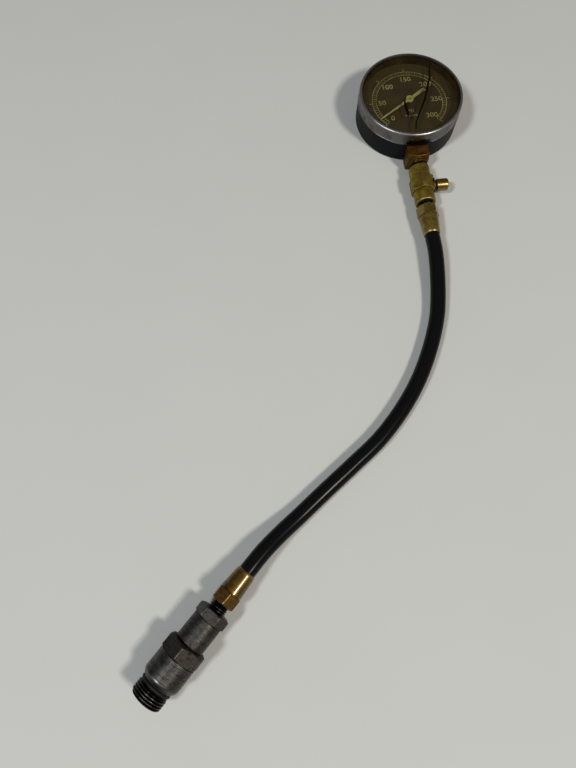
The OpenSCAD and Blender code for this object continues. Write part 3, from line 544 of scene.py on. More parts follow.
def hose_rubber():
    """Extruded black rubber, satin, with faint lengthwise streaks and dust in its pores."""
    material, tree, shader, _ = new_material("HoseRubber")
    uv = add(tree, "ShaderNodeUVMap", {"uv_map": "Along"}).outputs["UV"]
    streaks = add(tree, "ShaderNodeMapping", inputs={"Scale": (40, 900, 1)}, links={"Vector": uv})
    streak = add(tree, "ShaderNodeTexNoise", inputs={"Scale": 1.0, "Detail": 3},
                 links={"Vector": streaks.outputs[0]})
    object_space = add(tree, "ShaderNodeTexCoord").outputs["Object"]
    dust = noise(tree, object_space, 14, 4, 0.6)
    base = list(bpy.context.scene.tester_hose.colour) + [1]
    grey = ramp(tree, dust, [(0.52, 0.0), (0.78, 0.04)])
    colour = blend(tree, grey, base, linear("#1f1e1c"))
    tree.links.new(colour, shader.inputs["Base Color"])
    rough = ramp(tree, streak.outputs["Fac"], [(0.3, 0.18), (0.7, 0.28)])
    tree.links.new(rough, shader.inputs["Roughness"])
    grain = noise(tree, object_space, 0.5, 3, 0.6)
    height = add(tree, "ShaderNodeMath", {"operation": 'MULTIPLY_ADD'}, {1: 0.8},
                 {0: streak.outputs["Fac"], 2: grain})
    emboss(tree, shader, height.outputs[0], 0.12)
    shader.inputs["Specular IOR Level"].default_value = 0.08
    return material


def soft_rubber():
    """Moulded black rubber of the rings and seals, matt."""
    material, tree, shader, coordinates = new_material("SealRubber")
    cloud = noise(tree, coordinates, 0.7)
    tree.links.new(ramp(tree, cloud, [(0.35, "#080808"), (0.7, "#100f0f")]), shader.inputs["Base Color"])
    shader.inputs["Roughness"].default_value = 0.6
    shader.inputs["Specular IOR Level"].default_value = 0.25
    return material


def case_paint():
    """Sprayed enamel on a drawn steel case: blue black, satin, dull with handling."""
    material, tree, shader, coordinates = new_material("GaugeEnamel")
    cloud = noise(tree, coordinates, 12, 4, 0.6)
    colour = ramp(tree, cloud, [(0.35, "#07090a"), (0.6, "#0c0e10"), (0.75, "#121416")])
    specks = ramp(tree, noise(tree, coordinates, 0.9, 4, 0.7), [(0.66, 0.0), (0.72, 0.6)])
    colour = blend(tree, specks, colour, linear("#1a1612"))
    tree.links.new(colour, shader.inputs["Base Color"])
    tree.links.new(ramp(tree, cloud, [(0.3, 0.4), (0.7, 0.54)]), shader.inputs["Roughness"])
    shader.inputs["Specular IOR Level"].default_value = 0.1
    emboss(tree, shader, noise(tree, coordinates, 0.9, 2), 0.1)
    return material


def spot(tree, coordinates, centre, radius, ragged=1.5, wide=1.0):
    """A soft ragged spot round a point, both in millimetres: 1 inside and 0 outside."""
    centred = add(tree, "ShaderNodeMapping", {"vector_type": 'POINT'},
                  {"Location": [-c * MM for c in centre]}, {"Vector": coordinates}).outputs["Vector"]
    squeezed = add(tree, "ShaderNodeMapping", {"vector_type": 'POINT'}, {"Scale": (1 / wide, 1, 1)},
                   {"Vector": centred}).outputs["Vector"]
    distance = add(tree, "ShaderNodeVectorMath", {"operation": 'LENGTH'},
                   links={0: squeezed}).outputs["Value"]
    broken = add(tree, "ShaderNodeMath", {"operation": 'MULTIPLY_ADD'}, {1: 2 * ragged * MM},
                 {0: noise(tree, coordinates, 1.6, 4), 2: distance}).outputs[0]
    edge = (radius + ragged) * MM
    return add(tree, "ShaderNodeMapRange", {"interpolation_type": 'SMOOTHSTEP'},
               {"From Min": edge - 0.0006, "From Max": edge + 0.0008, "To Min": 1.0, "To Max": 0.0},
               {"Value": broken}).outputs["Result"]


# The heights between which the bezel's wall turns into its rim, which is lightened as a painted reflection
# of the room.
BEZEL_RIM = (23.5, 24.1)


def bezel_plate():
    """Spun steel ring, dull nickel plated: grey, purple-brown stains, a dark patch over the stem, its rim
    lightened as a painted reflection.
    """
    material, tree, shader, coordinates = new_material("BezelPlating")
    cloud = noise(tree, coordinates, 9, 3, 0.5)
    colour = ramp(tree, cloud, [(0.36, "#62605e"), (0.5, "#716f6d"), (0.66, "#5c5455")])
    rust = ramp(tree, noise(tree, coordinates, 1.6, 5, 0.7), [(0.62, 0.0), (0.72, 0.45)])
    colour = blend(tree, rust, colour, linear("#352b26"))
    height = add(tree, "ShaderNodeSeparateXYZ", links={"Vector": coordinates}).outputs["Z"]
    low, high = BEZEL_RIM
    # Painted reflection: the rim at the top is lightened towards a pale grey.
    rim = add(tree, "ShaderNodeMapRange",
              inputs={"From Min": low * MM, "From Max": high * MM, "To Max": 0.65},
              links={"Value": height}).outputs["Result"]
    colour = blend(tree, rim, colour, linear("#b0aca6"))
    # A dark, rougher patch on the bezel's wall over the stem.
    patch = spot(tree, coordinates, (0.5, -35.0, 15.6), 4.6, 2.2, 2.0)
    colour = blend(tree, patch, colour, linear("#15110b"))
    brassy = spot(tree, coordinates, (-1.0, -34.8, 20.6), 1.2, 0.8, 1.8)
    colour = blend(tree, brassy, colour, linear("#4a4420"))
    for centre in ((-32.4, 13.1, 21.5), (-32.9, -12.0, 18.5)):
        colour = blend(tree, spot(tree, coordinates, centre, 0.9, 0.5), colour, linear("#1b1613"))
    tree.links.new(colour, shader.inputs["Base Color"])
    rough = ramp(tree, cloud, [(0.3, 0.3), (0.7, 0.44)])
    rough = blend(tree, patch, rough, (0.6, 0.6, 0.6, 1))
    tree.links.new(rough, shader.inputs["Roughness"])
    shader.inputs["Metallic"].default_value = 1.0
    emboss(tree, shader, noise(tree, coordinates, 1.2, 3, 0.6), 0.07)
    return material


def dial_enamel():
    """Printed enamel on the dial plate, aged from cream to a dark olive brown."""
    material, tree, shader, coordinates = new_material("DialEnamel")
    cloud = noise(tree, coordinates, 14, 4, 0.6)
    colour = ramp(tree, cloud, [(0.34, "#2a230e"), (0.5, "#322913"), (0.66, "#2b290c")])
    tree.links.new(colour, shader.inputs["Base Color"])
    shader.inputs["Roughness"].default_value = 0.6
    return material


def dial_print():
    """Screen-printed ink of the scale, yellowed and half faded."""
    material, tree, shader, coordinates = new_material("DialInk")
    faded = ramp(tree, noise(tree, coordinates, 2.2, 4, 0.6), [(0.38, 0.0), (0.62, 0.6)])
    ink = list(bpy.context.scene.tester_dial.print_colour) + [1]
    tree.links.new(blend(tree, faded, ink, linear("#5a5528")), shader.inputs["Base Color"])
    shader.inputs["Roughness"].default_value = 0.6
    return material


def pointer_paint():
    """Stamped pointer with yellowed white paint."""
    material, tree, shader, coordinates = new_material("PointerPaint")
    cloud = noise(tree, coordinates, 3, 3)
    colour = ramp(tree, cloud, [(0.35, "#a39b56"), (0.65, "#bdb570")])
    tree.links.new(colour, shader.inputs["Base Color"])
    shader.inputs["Roughness"].default_value = 0.5
    return material


def aged_glass():
    """Flat glass, yellowed inside and dull with dust, which hides part of the dial."""
    material, tree, shader, coordinates = new_material("AgedGlass")
    cloud = noise(tree, coordinates, 16, 4, 0.55)
    colour = ramp(tree, cloud, [(0.36, "#33280c"), (0.5, "#3e2c12"), (0.66, "#3b3611")])
    tree.links.new(colour, shader.inputs["Base Color"])
    film = ramp(tree, noise(tree, coordinates, 9, 4, 0.6), [(0.36, 0.1), (0.64, 0.28)])
    tree.links.new(film, shader.inputs["Alpha"])
    shader.inputs["Roughness"].default_value = 0.28
    shader.inputs["Specular IOR Level"].default_value = 0.12
    return material


def crack_dark():
    """The broken faces of the glass, drawn dark."""
    material, tree, shader, coordinates = new_material("GlassCrackDark")
    cloud = noise(tree, coordinates, 1.5)
    tree.links.new(ramp(tree, cloud, [(0.35, "#060503"), (0.7, "#0f0b06")]), shader.inputs["Base Color"])
    shader.inputs["Roughness"].default_value = 0.7
    shader.inputs["Specular IOR Level"].default_value = 0.04
    return material


# Operators

class TESTER_OT_camera(bpy.types.Operator):
    """Add the camera at the photograph's viewing angle"""
    bl_idname = "tester.camera"
    bl_label = "Camera"

    def execute(self, context):
        forward = Vector((cos(CAMERA_DOWN) * sin(CAMERA_HEADING), cos(CAMERA_DOWN) * cos(CAMERA_HEADING),
                          -sin(CAMERA_DOWN)))
        level = Vector((cos(CAMERA_HEADING), -sin(CAMERA_HEADING), 0))
        steep = level.cross(forward)
        right = cos(CAMERA_ROLL) * level + sin(CAMERA_ROLL) * steep
        up = -sin(CAMERA_ROLL) * level + cos(CAMERA_ROLL) * steep
        data = bpy.data.cameras.new("Camera")
        data.lens = CAMERA_LENS
        data.sensor_width = SENSOR
        data.sensor_fit = 'AUTO'
        data.clip_start = 0.01
        camera = bpy.data.objects.new("Camera", data)
        context.scene.collection.objects.link(camera)
        turn = Matrix((right, up, -forward)).transposed().to_4x4()
        camera.matrix_world = Matrix.Translation(Vector(CAMERA_AT) * MM) @ turn
        context.scene.camera = camera
        return {'FINISHED'}


FERRULE_LEN = 13.2
NUT_LEN = 7.0
NUT_FLATS = 12.7
COUPLING_LEN = FERRULE_LEN + NUT_LEN
HOSE_BORE_R = 2.5
NIPPLE_R = 4.9
SPIGOT_R = 5.7


def ferrule(name, where):
    """The tapered shell that is pressed on the hose, with a rolled lip and a gap before the nut."""
    inner = COUPLING_LEN - 3
    stations = rounded([
        (0, 4.83, 0), (0.12, 5.04, 0.3), (0.55, 5.28, 0.8), (1.3, 5.44, 1.0), (12.7, 6.36, 0),
        (12.75, 5.85, 0.1), (FERRULE_LEN, 5.85, 0), (FERRULE_LEN, SPIGOT_R, 0),
        (inner, SPIGOT_R, 0.1), (inner, HOSE_BORE_R, 0), (FERRULE_LEN + 1.8, HOSE_BORE_R, 0),
        (FERRULE_LEN + 1.8, 4.85, 0)])
    return turned(name, where, stations)


def nut(name, where, turn):
    """A hexagon nut whose two ends are turned to a cone."""
    form = hexagon(NUT_FLATS, turn)
    face, corner = NUT_FLATS / 2 - 0.15, NUT_FLATS / 2 / cos(radians(30)) - 0.02
    slope = 0.75
    back_slope = 0.3
    start, end = FERRULE_LEN + 0.04, COUPLING_LEN
    bore = NIPPLE_R + 0.05
    stations = [Station(start, SPIGOT_R + 0.05, 0, None)]
    stations += cone((start, face), (start + back_slope, corner), form)
    stations += cone((end - slope, corner), (end, face), form)
    stations += [Station(end, bore + 0.4, 0, None), Station(end - 0.4, bore, 0, None),
                 Station(end - 1, bore, 0, None), Station(end - 1, SPIGOT_R + 0.05, 0, None)]
    return turned(name, where, stations, turn)


def nipple(name, where):
    """The coupling's threaded tail: a barbed end in the hose, a flange in the nut and a cut thread."""
    length = COUPLING_LEN + 10
    start, pitch, depth = COUPLING_LEN + 0.3, 1.3, 0.7
    flange = COUPLING_LEN - 3
    stations = [Station(2, 1.3, 0, None), Station(2, 2.1, 0, None)]
    for i in range(5):
        stations += [Station(2 + 3 * i, 2.05, 0, None), Station(3.6 + 3 * i, 2.3, 0, None),
                     Station(3.65 + 3 * i, 2.1, 0, None)]
    stations += rounded([(flange, 2.1, 0), (flange, 5.6, 0.1), (flange + 2, 5.6, 0.1),
                         (flange + 2, NIPPLE_R, 0), (start, NIPPLE_R, 0)])
    stations += thread(start, length, pitch, NIPPLE_R, depth, 12)
    stations += [Station(length, NIPPLE_R - 0.8, 0, None), Station(length, 1.3, 0, None)]
    return turned(name, where, stations)


class TESTER_OT_couplings(bpy.types.Operator):
    """Add the ferrule, nut and threaded nipple at both ends of the hose"""
    bl_idname = "tester.couplings"
    bl_label = "Hose Couplings"

    def execute(self, context):
        clean, dull = ("#877128", "#958132", "#775f20"), ("#594213", "#674d17", "#4c370e")
        for side, where, turn, heading, tones, tint in (
                ("upper", UPPER_COUPLING, 0, STEM_HEADING, clean, "#785a22"),
                ("lower", LOWER_COUPLING, 22, ADAPTER_HEADING, dull, "#603812")):
            brass = coupling_brass(heading, tones, tint)
            shell = ferrule("hose_ferrule_" + side, where)
            dress(shell, brass, "tester", "coupling_brass", side + "_ferrule")
            dress(nut("coupling_nut_" + side, where, turn), brass, "tester", "coupling_brass", side + "_nut")
            black = thread_steel("NippleThread", heading, 0.14)
            dress(nipple("threaded_nipple_" + side, where), black, "tester", "dark_thread", side + "_nipple")
        return {'FINISHED'}


class TESTER_OT_adapters(bpy.types.Operator):
    """Add the inner adapter and the outer adapter with its plug thread"""
    bl_idname = "tester.adapters"
    bl_label = "Adapters"

    def execute(self, context):
        self.inner()
        self.outer()
        return {'FINISHED'}

    def inner(self):
        """A small hexagon and a barrel, with a thread that goes into the outer adapter."""
        start, tip = reach("inner_adapter", LOWER_COUPLING)
        flats, hex_len, barrel_len = 15.9, 5.8, 14.2
        barrel_r, thread_r, bore_r, socket_depth = 8.25, 6.95, 2.55, 6.7
        shoulder = start + hex_len
        end = shoulder + barrel_len
        form = hexagon(flats, 0)
        corner = flats / 2 / cos(radians(30)) - 0.02
        stations = [Station(start, NIPPLE_R + 0.05, 0, None)]
        stations += cone((start, flats / 2 - 0.2), (start + 0.8, corner), form)
        stations += cone((shoulder - 0.6, corner), (shoulder - 0.1, 8.1), form, 5)
        stations += rounded([(shoulder - 0.1, 7.5, 0), (shoulder + 0.25, 7.5, 0.05),
                             (shoulder + 0.25, barrel_r, 0.15), (end, barrel_r, 0.3), (end, thread_r, 0),
                             (tip, thread_r, 0.5), (tip, bore_r, 0), (start + socket_depth, bore_r, 0),
                             (start + socket_depth, NIPPLE_R + 0.05, 0)])
        piece = turned("inner_adapter_body", LOWER_COUPLING, stations)
        dress(piece, adapter_steel(), "tester", "adapter_steel", "inner_adapter")

    def outer(self):
        """A large hexagon and a barrel with a chamfer, an undercut and the plug thread."""
        start, tip = reach("outer_adapter", LOWER_COUPLING)
        flats, turn, hex_len, barrel_len, chamfer = 20.65, 33, 7.7, 12.8, 2.5
        barrel_r, crest_r, bore_r, plug_bore_r = 10.45, 8.9, 7.0, 3.0
        pitch, depth, ring, socket_depth = 1.5, 0.95, 2.0, 11.5
        shoulder = start + hex_len
        end = shoulder + barrel_len
        undercut = end + chamfer
        thread_start = undercut + ring
        form = hexagon(flats, turn)
        corner = flats / 2 / cos(radians(30)) - 0.02
        stations = [Station(start, bore_r, 0, None)]
        stations += cone((start, flats / 2 - 0.25), (start + 1.0, corner), form)
        stations += cone((shoulder - 0.7, corner), (shoulder - 0.05, 10.4), form, 5)
        stations += rounded([(shoulder - 0.05, 9.7, 0), (shoulder + 0.3, 9.7, 0.05),
                             (shoulder + 0.3, barrel_r, 0.15), (end, barrel_r, 2.2), (undercut, 8.6, 0.4),
                             (undercut, 6.9, 0.1), (thread_start - 0.4, 6.9, 0.2),
                             (thread_start, crest_r - 1.0, 0.1)])
        stations += thread(thread_start, tip, pitch, crest_r, depth, 14)
        stations += [Station(tip, crest_r - 1.2, 0, None), Station(tip, plug_bore_r, 0, None),
                     Station(start + socket_depth, plug_bore_r, 0, None),
                     Station(start + socket_depth, bore_r, 0, None)]
        piece = turned("outer_adapter_body", LOWER_COUPLING, stations, turn)
        dress(piece, plug_steel(), "plug_adapter", "plug_steel", "outer_adapter")
        piece.data.materials.append(thread_steel("PlugThread", ADAPTER_HEADING, 0.36))
        piece.data.materials.append(flats_steel())
        for face in piece.data.polygons:
            along = (LOWER_COUPLING.inverted() @ (face.center / MM)).z
            if along > undercut - 0.1:
                face.material_index = 1
            elif along < shoulder:
                face.material_index = 2


class TESTER_OT_hose(bpy.types.Operator):
    """Add the rubber hose between the two couplings"""
    bl_idname = "tester.hose"
    bl_label = "Hose"

    SIDES = 32
    PARTS = 9

    def execute(self, context):
        path, tangents = self.smooth_path()
        radius = context.scene.tester_hose.diameter / MM / 2
        bm = bmesh.new()
        rings = [self.ring(bm, p, t, radius) for p, t in zip(path, tangents)]
        rings += [self.ring(bm, p, t, HOSE_BORE_R) for p, t in reversed(list(zip(path, tangents)))]
        uv = bm.loops.layers.uv.new("Along")
        distances = [0.0]
        for a, b in zip(path, path[1:]):
            distances.append(distances[-1] + (b - a).length)
        distances += list(reversed(distances))
        for i in range(len(rings)):
            j = (i + 1) % len(rings)
            for k in range(self.SIDES):
                n = (k + 1) % self.SIDES
                face = bm.faces.new((rings[i][k], rings[i][n], rings[j][n], rings[j][k]))
                around = (k / self.SIDES, (k + 1) / self.SIDES)
                ends = (distances[i] * MM, distances[j] * MM)
                for loop, point in zip(face.loops, ((0, 0), (0, 1), (1, 1), (1, 0))):
                    loop[uv].uv = (ends[point[0]], around[point[1]] * 2 * pi * radius * MM)
        hose = finished("rubber_hose", bm)
        rubber = hose_rubber()
        dress(hose, rubber, "tester", "hose_rubber", "hose")
        for node in ("upper_hose_end", "lower_hose_end"):
            paint(node, rubber)
        return {'FINISHED'}

    def smooth_path(self):
        """The route as a smooth curve through its points, with the direction at each point."""
        points = [Vector(p) for p in HOSE_ROUTE]
        last = len(points) - 1
        slopes = [(points[min(i + 1, last)] - points[max(i - 1, 0)]) / 2 for i in range(last + 1)]
        slopes[0] = Vector((0, -1, 0)) * (points[1] - points[0]).length
        slopes[-1] = Vector(ADAPTER_AXIS) * (points[-1] - points[-2]).length
        path, tangents = [], []
        for i in range(last):
            for k in range(self.PARTS + (i == last - 1)):
                t = k / self.PARTS
                path.append((2 * t ** 3 - 3 * t ** 2 + 1) * points[i] + (t ** 3 - 2 * t ** 2 + t) * slopes[i]
                            + (3 * t ** 2 - 2 * t ** 3) * points[i + 1] + (t ** 3 - t ** 2) * slopes[i + 1])
                slope = ((6 * t * t - 6 * t) * (points[i] - points[i + 1])
                         + (3 * t * t - 4 * t + 1) * slopes[i] + (3 * t * t - 2 * t) * slopes[i + 1])
                tangents.append(slope.normalized())
        return path, tangents

    def ring(self, bm, centre, tangent, radius):
        side = Vector((0, 0, 1)).cross(tangent).normalized()
        up = tangent.cross(side)
        return [bm.verts.new((centre + radius * (cos(a) * side + sin(a) * up)) * MM)
                for a in (2 * pi * k / self.SIDES for k in range(self.SIDES))]


class TESTER_OT_valve(bpy.types.Operator):
    """Add the brass valve body and the release button"""
    bl_idname = "tester.valve"
    bl_label = "Release Valve"

    def execute(self, context):
        brass = valve_brass()
        start, end = reach("valve_body", STEM)
        collar_len, hex_len, collar_r, neck_r, flats = 7.8, 10.7, 6.8, 6.7, 14.2
        collar_groove, neck_groove, groove_w = 0.5, 0.6, 0.5
        stub_depth, tail_depth, thread_r = 6.3, 7.4, NIPPLE_R + 0.05
        gallery_r, gallery_side = 1.5, -3
        spindle_r, skirt_r, bush_r = 3.0, 3.45, 5.05
        hex_start = start + collar_len
        hex_end = hex_start + hex_len
        form = hexagon(flats, 30)
        corner = flats / 2 / cos(radians(30)) - 0.01
        stations = rounded([(start, 0, 0), (start, collar_r, 0.35), (hex_start - groove_w, collar_r, 0.05),
                            (hex_start - groove_w + 0.05, collar_r - collar_groove, 0.1),
                            (hex_start, collar_r - collar_groove, 0)])
        stations += cone((hex_start, flats / 2 - 0.1), (hex_start + 0.7, corner), form)
        stations += cone((hex_end - 0.7, corner), (hex_end, flats / 2 - 0.1), form)
        stations += rounded([(hex_end, neck_r - neck_groove, 0),
                             (hex_end + groove_w, neck_r - neck_groove, 0.1),
                             (hex_end + groove_w + 0.05, neck_r, 0.1), (end, neck_r, 0.7), (end, 0, 0)])
        body = turned("valve_block", STEM, stations, 30)
        face = flats / 2
        cut(body, [cylinder(STEM, start - 1, start + stub_depth, thread_r),
                   cylinder(STEM, start + 1, end - 2, gallery_r, gallery_side),
                   cylinder(STEM, end - tail_depth, end + 1, thread_r),
                   cylinder(BUTTON, -5, face + 1, spindle_r),
                   cylinder(BUTTON, -0.9, face + 2, skirt_r),
                   cylinder(BUTTON, face - 0.6, face + 3, bush_r)])
        dress(body, brass, "tester", "valve_brass", "valve_body")
        # Painted shade: the release bush is given a dark brown, as the shade in the gap between the hexagon
        # and the button.
        paint("release_bush", plain_metal("BushBrassShaded", "#54431e", 0.5, 0.8))
        self.button()
        return {'FINISHED'}

    def button(self):
        """A hollow cap with a rounded end and a fine turned line round its middle."""
        start, end = reach("release_button", BUTTON)
        radius, skirt, spindle_r = 4.0, 3.4, 1.25
        hollow, spindle_end = start + 3.4, start + 6.3
        stations = rounded([(spindle_end, 0, 0), (spindle_end, spindle_r, 0), (hollow, spindle_r, 0),
                            (hollow, skirt, 0), (start, skirt, 0.1), (start, radius, 0.3),
                            (start + 4.0, radius, 0.1), (start + 4.15, radius - 0.05, 0.05),
                            (start + 4.3, radius, 0.1), (end, radius, 1.0), (end, 0, 0)], steps=6)
        piece = turned("button_cap", BUTTON, stations)
        dress(piece, button_brass(), "release_button", "button_brass", "release_button")


def paint(node, material):
    """Gives a CAD node that stays a material."""
    mesh = NODES[node].data
    for index in range(max(1, len(mesh.materials))):
        if len(mesh.materials) <= index:
            mesh.materials.append(material)
        mesh.materials[index] = material


ZERO_ANGLE = 225.0
SWEEP = 270.0
NUMBERS = 7
NUMBERS_AT = 18.7
LINE_WIDTH = 0.34
SMALL_TICK_WIDTH = 0.18
LARGE_TICK_WIDTH = 0.42


def tick_tree(material):
    """A tree that sets bars out along an arc, all pointing away from its middle."""
    tree = bpy.data.node_groups.new("DialTicks", 'GeometryNodeTree')
    sockets = (("Count", 'NodeSocketInt'), ("Radius", 'NodeSocketFloat'), ("Length", 'NodeSocketFloat'),
               ("Width", 'NodeSocketFloat'), ("Height", 'NodeSocketFloat'), ("Start", 'NodeSocketFloat'),
               ("Sweep", 'NodeSocketFloat'))
    tree.interface.new_socket("Geometry", in_out='INPUT', socket_type='NodeSocketGeometry')
    for name, kind in sockets:
        tree.interface.new_socket(name, in_out='INPUT', socket_type=kind)
    tree.interface.new_socket("Geometry", in_out='OUTPUT', socket_type='NodeSocketGeometry')
    given = add(tree, "NodeGroupInput").outputs
    size = add(tree, "ShaderNodeCombineXYZ", links={"X": given["Length"], "Y": given["Width"],
                                                    "Z": given["Height"]}).outputs[0]
    bar = add(tree, "GeometryNodeMeshCube", links={"Size": size}).outputs["Mesh"]
    shift = add(tree, "ShaderNodeCombineXYZ", links={"X": given["Radius"]}).outputs[0]
    bar = add(tree, "GeometryNodeTransform", links={"Geometry": bar, "Translation": shift}).outputs[0]
    spots = add(tree, "GeometryNodePoints", links={"Count": given["Count"]}).outputs[0]
    index = add(tree, "GeometryNodeInputIndex").outputs[0]
    last = add(tree, "ShaderNodeMath", {"operation": 'SUBTRACT'}, {1: 1.0}, {0: given["Count"]}).outputs[0]
    share = add(tree, "ShaderNodeMath", {"operation": 'DIVIDE'}, links={0: index, 1: last}).outputs[0]
    turn = add(tree, "ShaderNodeMath", {"operation": 'MULTIPLY'},
               links={0: share, 1: given["Sweep"]}).outputs[0]
    angle = add(tree, "ShaderNodeMath", {"operation": 'SUBTRACT'},
                links={0: given["Start"], 1: turn}).outputs[0]
    rotation = add(tree, "ShaderNodeCombineXYZ", links={"Z": angle}).outputs[0]
    bars = add(tree, "GeometryNodeInstanceOnPoints", links={"Points": spots, "Instance": bar,
                                                            "Rotation": rotation}).outputs[0]
    real = add(tree, "GeometryNodeRealizeInstances", links={"Geometry": bars}).outputs[0]
    painted = add(tree, "GeometryNodeSetMaterial", {}, {"Material": material}, {"Geometry": real}).outputs[0]
    add(tree, "NodeGroupOutput", links={"Geometry": painted})
    return tree


def ticks(name, tree, values, height):
    """Ticks made by the tree with these inputs, as a plain mesh at a height in millimetres."""
    piece = bpy.data.objects.new(name, bpy.data.meshes.new(name))
    bpy.context.scene.collection.objects.link(piece)
    step = piece.modifiers.new("ticks", 'NODES')
    step.node_group = tree
    for item in tree.interface.items_tree:
        if item.in_out == 'INPUT' and item.name in values:
            step[item.identifier] = values[item.name]
    result = baked(piece)
    piece.modifiers.clear()
    piece.data = result
    piece.data.transform(Matrix.Translation((0, 0, height * MM)))
    return piece


INK = 0.05


def arc_line(name, radius, width, start, sweep, steps=120):
    """A thin printed arc on the dial, with a little thickness."""
    low, high = DIAL_FACE - INK / 2, DIAL_FACE + INK
    inside, outside = radius - width / 2, radius + width / 2
    rows = []
    for k in range(steps + 1):
        a = radians(start - sweep * k / steps)
        rows.append([(r * cos(a), r * sin(a), z)
                     for r, z in ((inside, low), (outside, low), (outside, high), (inside, high))])
    return bar(name, rows)


def lettering(name, words, height, at, material):
    """Printed numbers or a unit on the dial, centred at a point in millimetres."""
    curve = bpy.data.curves.new(name, 'FONT')
    curve.body = words
    curve.size = height / 0.7
    curve.align_x = 'CENTER'
    curve.align_y = 'CENTER'
    curve.extrude = INK * MM * 0.75
    curve.resolution_u = 3
    curve.offset = height * 0.018
    text = bpy.data.objects.new(name + "_text", curve)
    bpy.context.scene.collection.objects.link(text)
    mesh = baked(text)
    bpy.data.objects.remove(text)
    mesh.transform(Matrix.Translation(Vector((at[0], at[1], DIAL_FACE)) * MM))
    piece = bpy.data.objects.new(name, mesh)
    bpy.context.scene.collection.objects.link(piece)
    return dress(piece, material, "tester", "dial_paint")


class TESTER_OT_dial(bpy.types.Operator):
    """Add the dial's scale lines, ticks, numbers and unit"""
    bl_idname = "tester.dial"
    bl_label = "Dial Print"

    def execute(self, context):
        settings = context.scene.tester_dial
        ink = dial_print()
        outer = settings.scale_radius
        inner = outer - settings.scale_width
        for name, radius in (("scale_line_outer", outer), ("scale_line_inner", inner)):
            line = arc_line(name, radius / MM, LINE_WIDTH, ZERO_ANGLE, SWEEP)
            dress(line, ink, "tester", "dial_paint")
        tree = tick_tree(ink)
        common = {"Height": INK * MM, "Start": radians(ZERO_ANGLE), "Sweep": radians(SWEEP)}
        small = dict(common, Count=(NUMBERS - 1) * settings.ticks + 1, Radius=(outer + inner) / 2,
                     Length=settings.scale_width, Width=SMALL_TICK_WIDTH * MM)
        large = dict(common, Count=NUMBERS, Radius=outer + 0.1 * MM, Length=settings.scale_width * 1.7,
                     Width=LARGE_TICK_WIDTH * MM)
        for name, values in (("scale_ticks_small", small), ("scale_ticks_large", large)):
            dress(ticks(name, tree, values, DIAL_FACE + INK / 2), ink, "tester", "dial_paint")
        for k in range(NUMBERS):
            angle = radians(ZERO_ANGLE - SWEEP * k / (NUMBERS - 1))
            at = (NUMBERS_AT * cos(angle), NUMBERS_AT * sin(angle))
            words = str(k * settings.step)
            lettering("number_" + words, words, settings.number_height, at, ink)
        lettering("unit_line_one", "PSI", 0.0026, (-0.4, -8.4), ink)
        lettering("unit_line_two", "POUNDS", 0.0014, (-0.4, -12.2), ink)
        return {'FINISHED'}


# The cracks of the glass, as points on its face in millimetres from the dial's middle.
LONG_CRACK = [(17.2, 24.8), (16.0, 20.0), (15.1, 12.5), (13.0, 8.2), (11.5, 2.8), (9.8, -1.5), (8.4, -5.4),
              (5.9, -10.0), (4.2, -13.2), (2.4, -17.5), (-0.2, -22.5), (-1.3, -28.5)]
SHORT_CRACK = [(-4.9, -4.2), (-5.2, -7.0), (-4.9, -10.5), (-4.7, -13.5), (-4.4, -17.0)]
CRACK_WIDTH = 1.4


def crack(name, points, widths):
    """A dark wall through the glass along the points, thin at the crack's ends."""
    low, high = GLASS_LOW + 0.05, GLASS_HIGH + 0.02
    rows = []
    for i, (x, y) in enumerate(points):
        a = Vector(points[max(i - 1, 0)])
        b = Vector(points[min(i + 1, len(points) - 1)])
        side = (b - a).normalized().orthogonal() * widths[i] / 2
        rows.append([(x + s * side.x, y + s * side.y, z)
                     for s, z in ((-1, low), (1, low), (1, high), (-1, high))])
    return bar(name, rows)


class TESTER_OT_glass(bpy.types.Operator):
    """Give the glass its film and add its two cracks"""
    bl_idname = "tester.glass"
    bl_label = "Cracked Glass"

    def execute(self, context):
        paint("dial_glass", aged_glass())
        dark = crack_dark()
        for name, points in (("glass_crack_long", LONG_CRACK), ("glass_crack_short", SHORT_CRACK)):
            last = len(points) - 1
            shares = [min(max(i / last, 0.02), 0.98) for i in range(last + 1)]
            widths = [CRACK_WIDTH * (0.35 + 0.65 * sin(pi * share)) for share in shares]
            dress(crack(name, points, widths), dark, "tester", "dial_glass")
        return {'FINISHED'}


class TESTER_OT_finishes(bpy.types.Operator):
    """Give the solids that stay as they are their materials"""
    bl_idname = "tester.finishes"
    bl_label = "Finishes"

    def execute(self, context):
        movement = plain_metal("MovementBrass", "#b5944a", 0.34)
        screws = plain_metal("ScrewSteel", "#8b8883", 0.4)
        bronze = plain_metal("TubeBronze", "#a87d45", 0.36, 3)
        spring = plain_metal("SpringWire", "#8f8f8f", 0.3)
        spindle = plain_metal("SpindleSteel", "#a3a19b", 0.22)
        rust = plain_metal("RustyWasher", "#1e1815", 0.6, 0.6)
        rubber = soft_rubber()
        finishes = {
            case_paint(): ["gauge_case"],
            bezel_plate(): ["bezel_ring"],
            rubber: ["glass_gasket", "release_seal", "plug_seal", "check_seal"],
            dial_enamel(): ["dial_plate"],
            pointer_paint(): ["pointer"],
            movement: ["dial_posts", "stop_pin", "pointer_arbor", "hairspring_stud", "back_plate",
                       "front_plate", "pillars", "sector_gear", "link", "check_body", "check_pin"],
            screws: ["dial_screws", "pillar_screws", "movement_screws", "case_screws"],
            bronze: ["pressure_tube", "tube_tip", "hairspring"],
            spring: ["release_spring", "check_spring"],
            spindle: ["release_spindle"],
            rust: ["adapter_washer"],
            stem_block_brass(): ["stem_block"],
        }
        for material, nodes in finishes.items():
            for node in nodes:
                paint(node, material)
        return {'FINISHED'}


# The lights, in metres, and the strength of the room's own light.
KEY_AT = (0.95, -1.12, 1.8)
FILL_AT = (-1.23, -0.80, 1.8)
LIGHTS_LOOK_AT = (-0.08, -0.17, 0)
LIGHT_SIZE = 0.3
ROOM_STRENGTH = 0.13


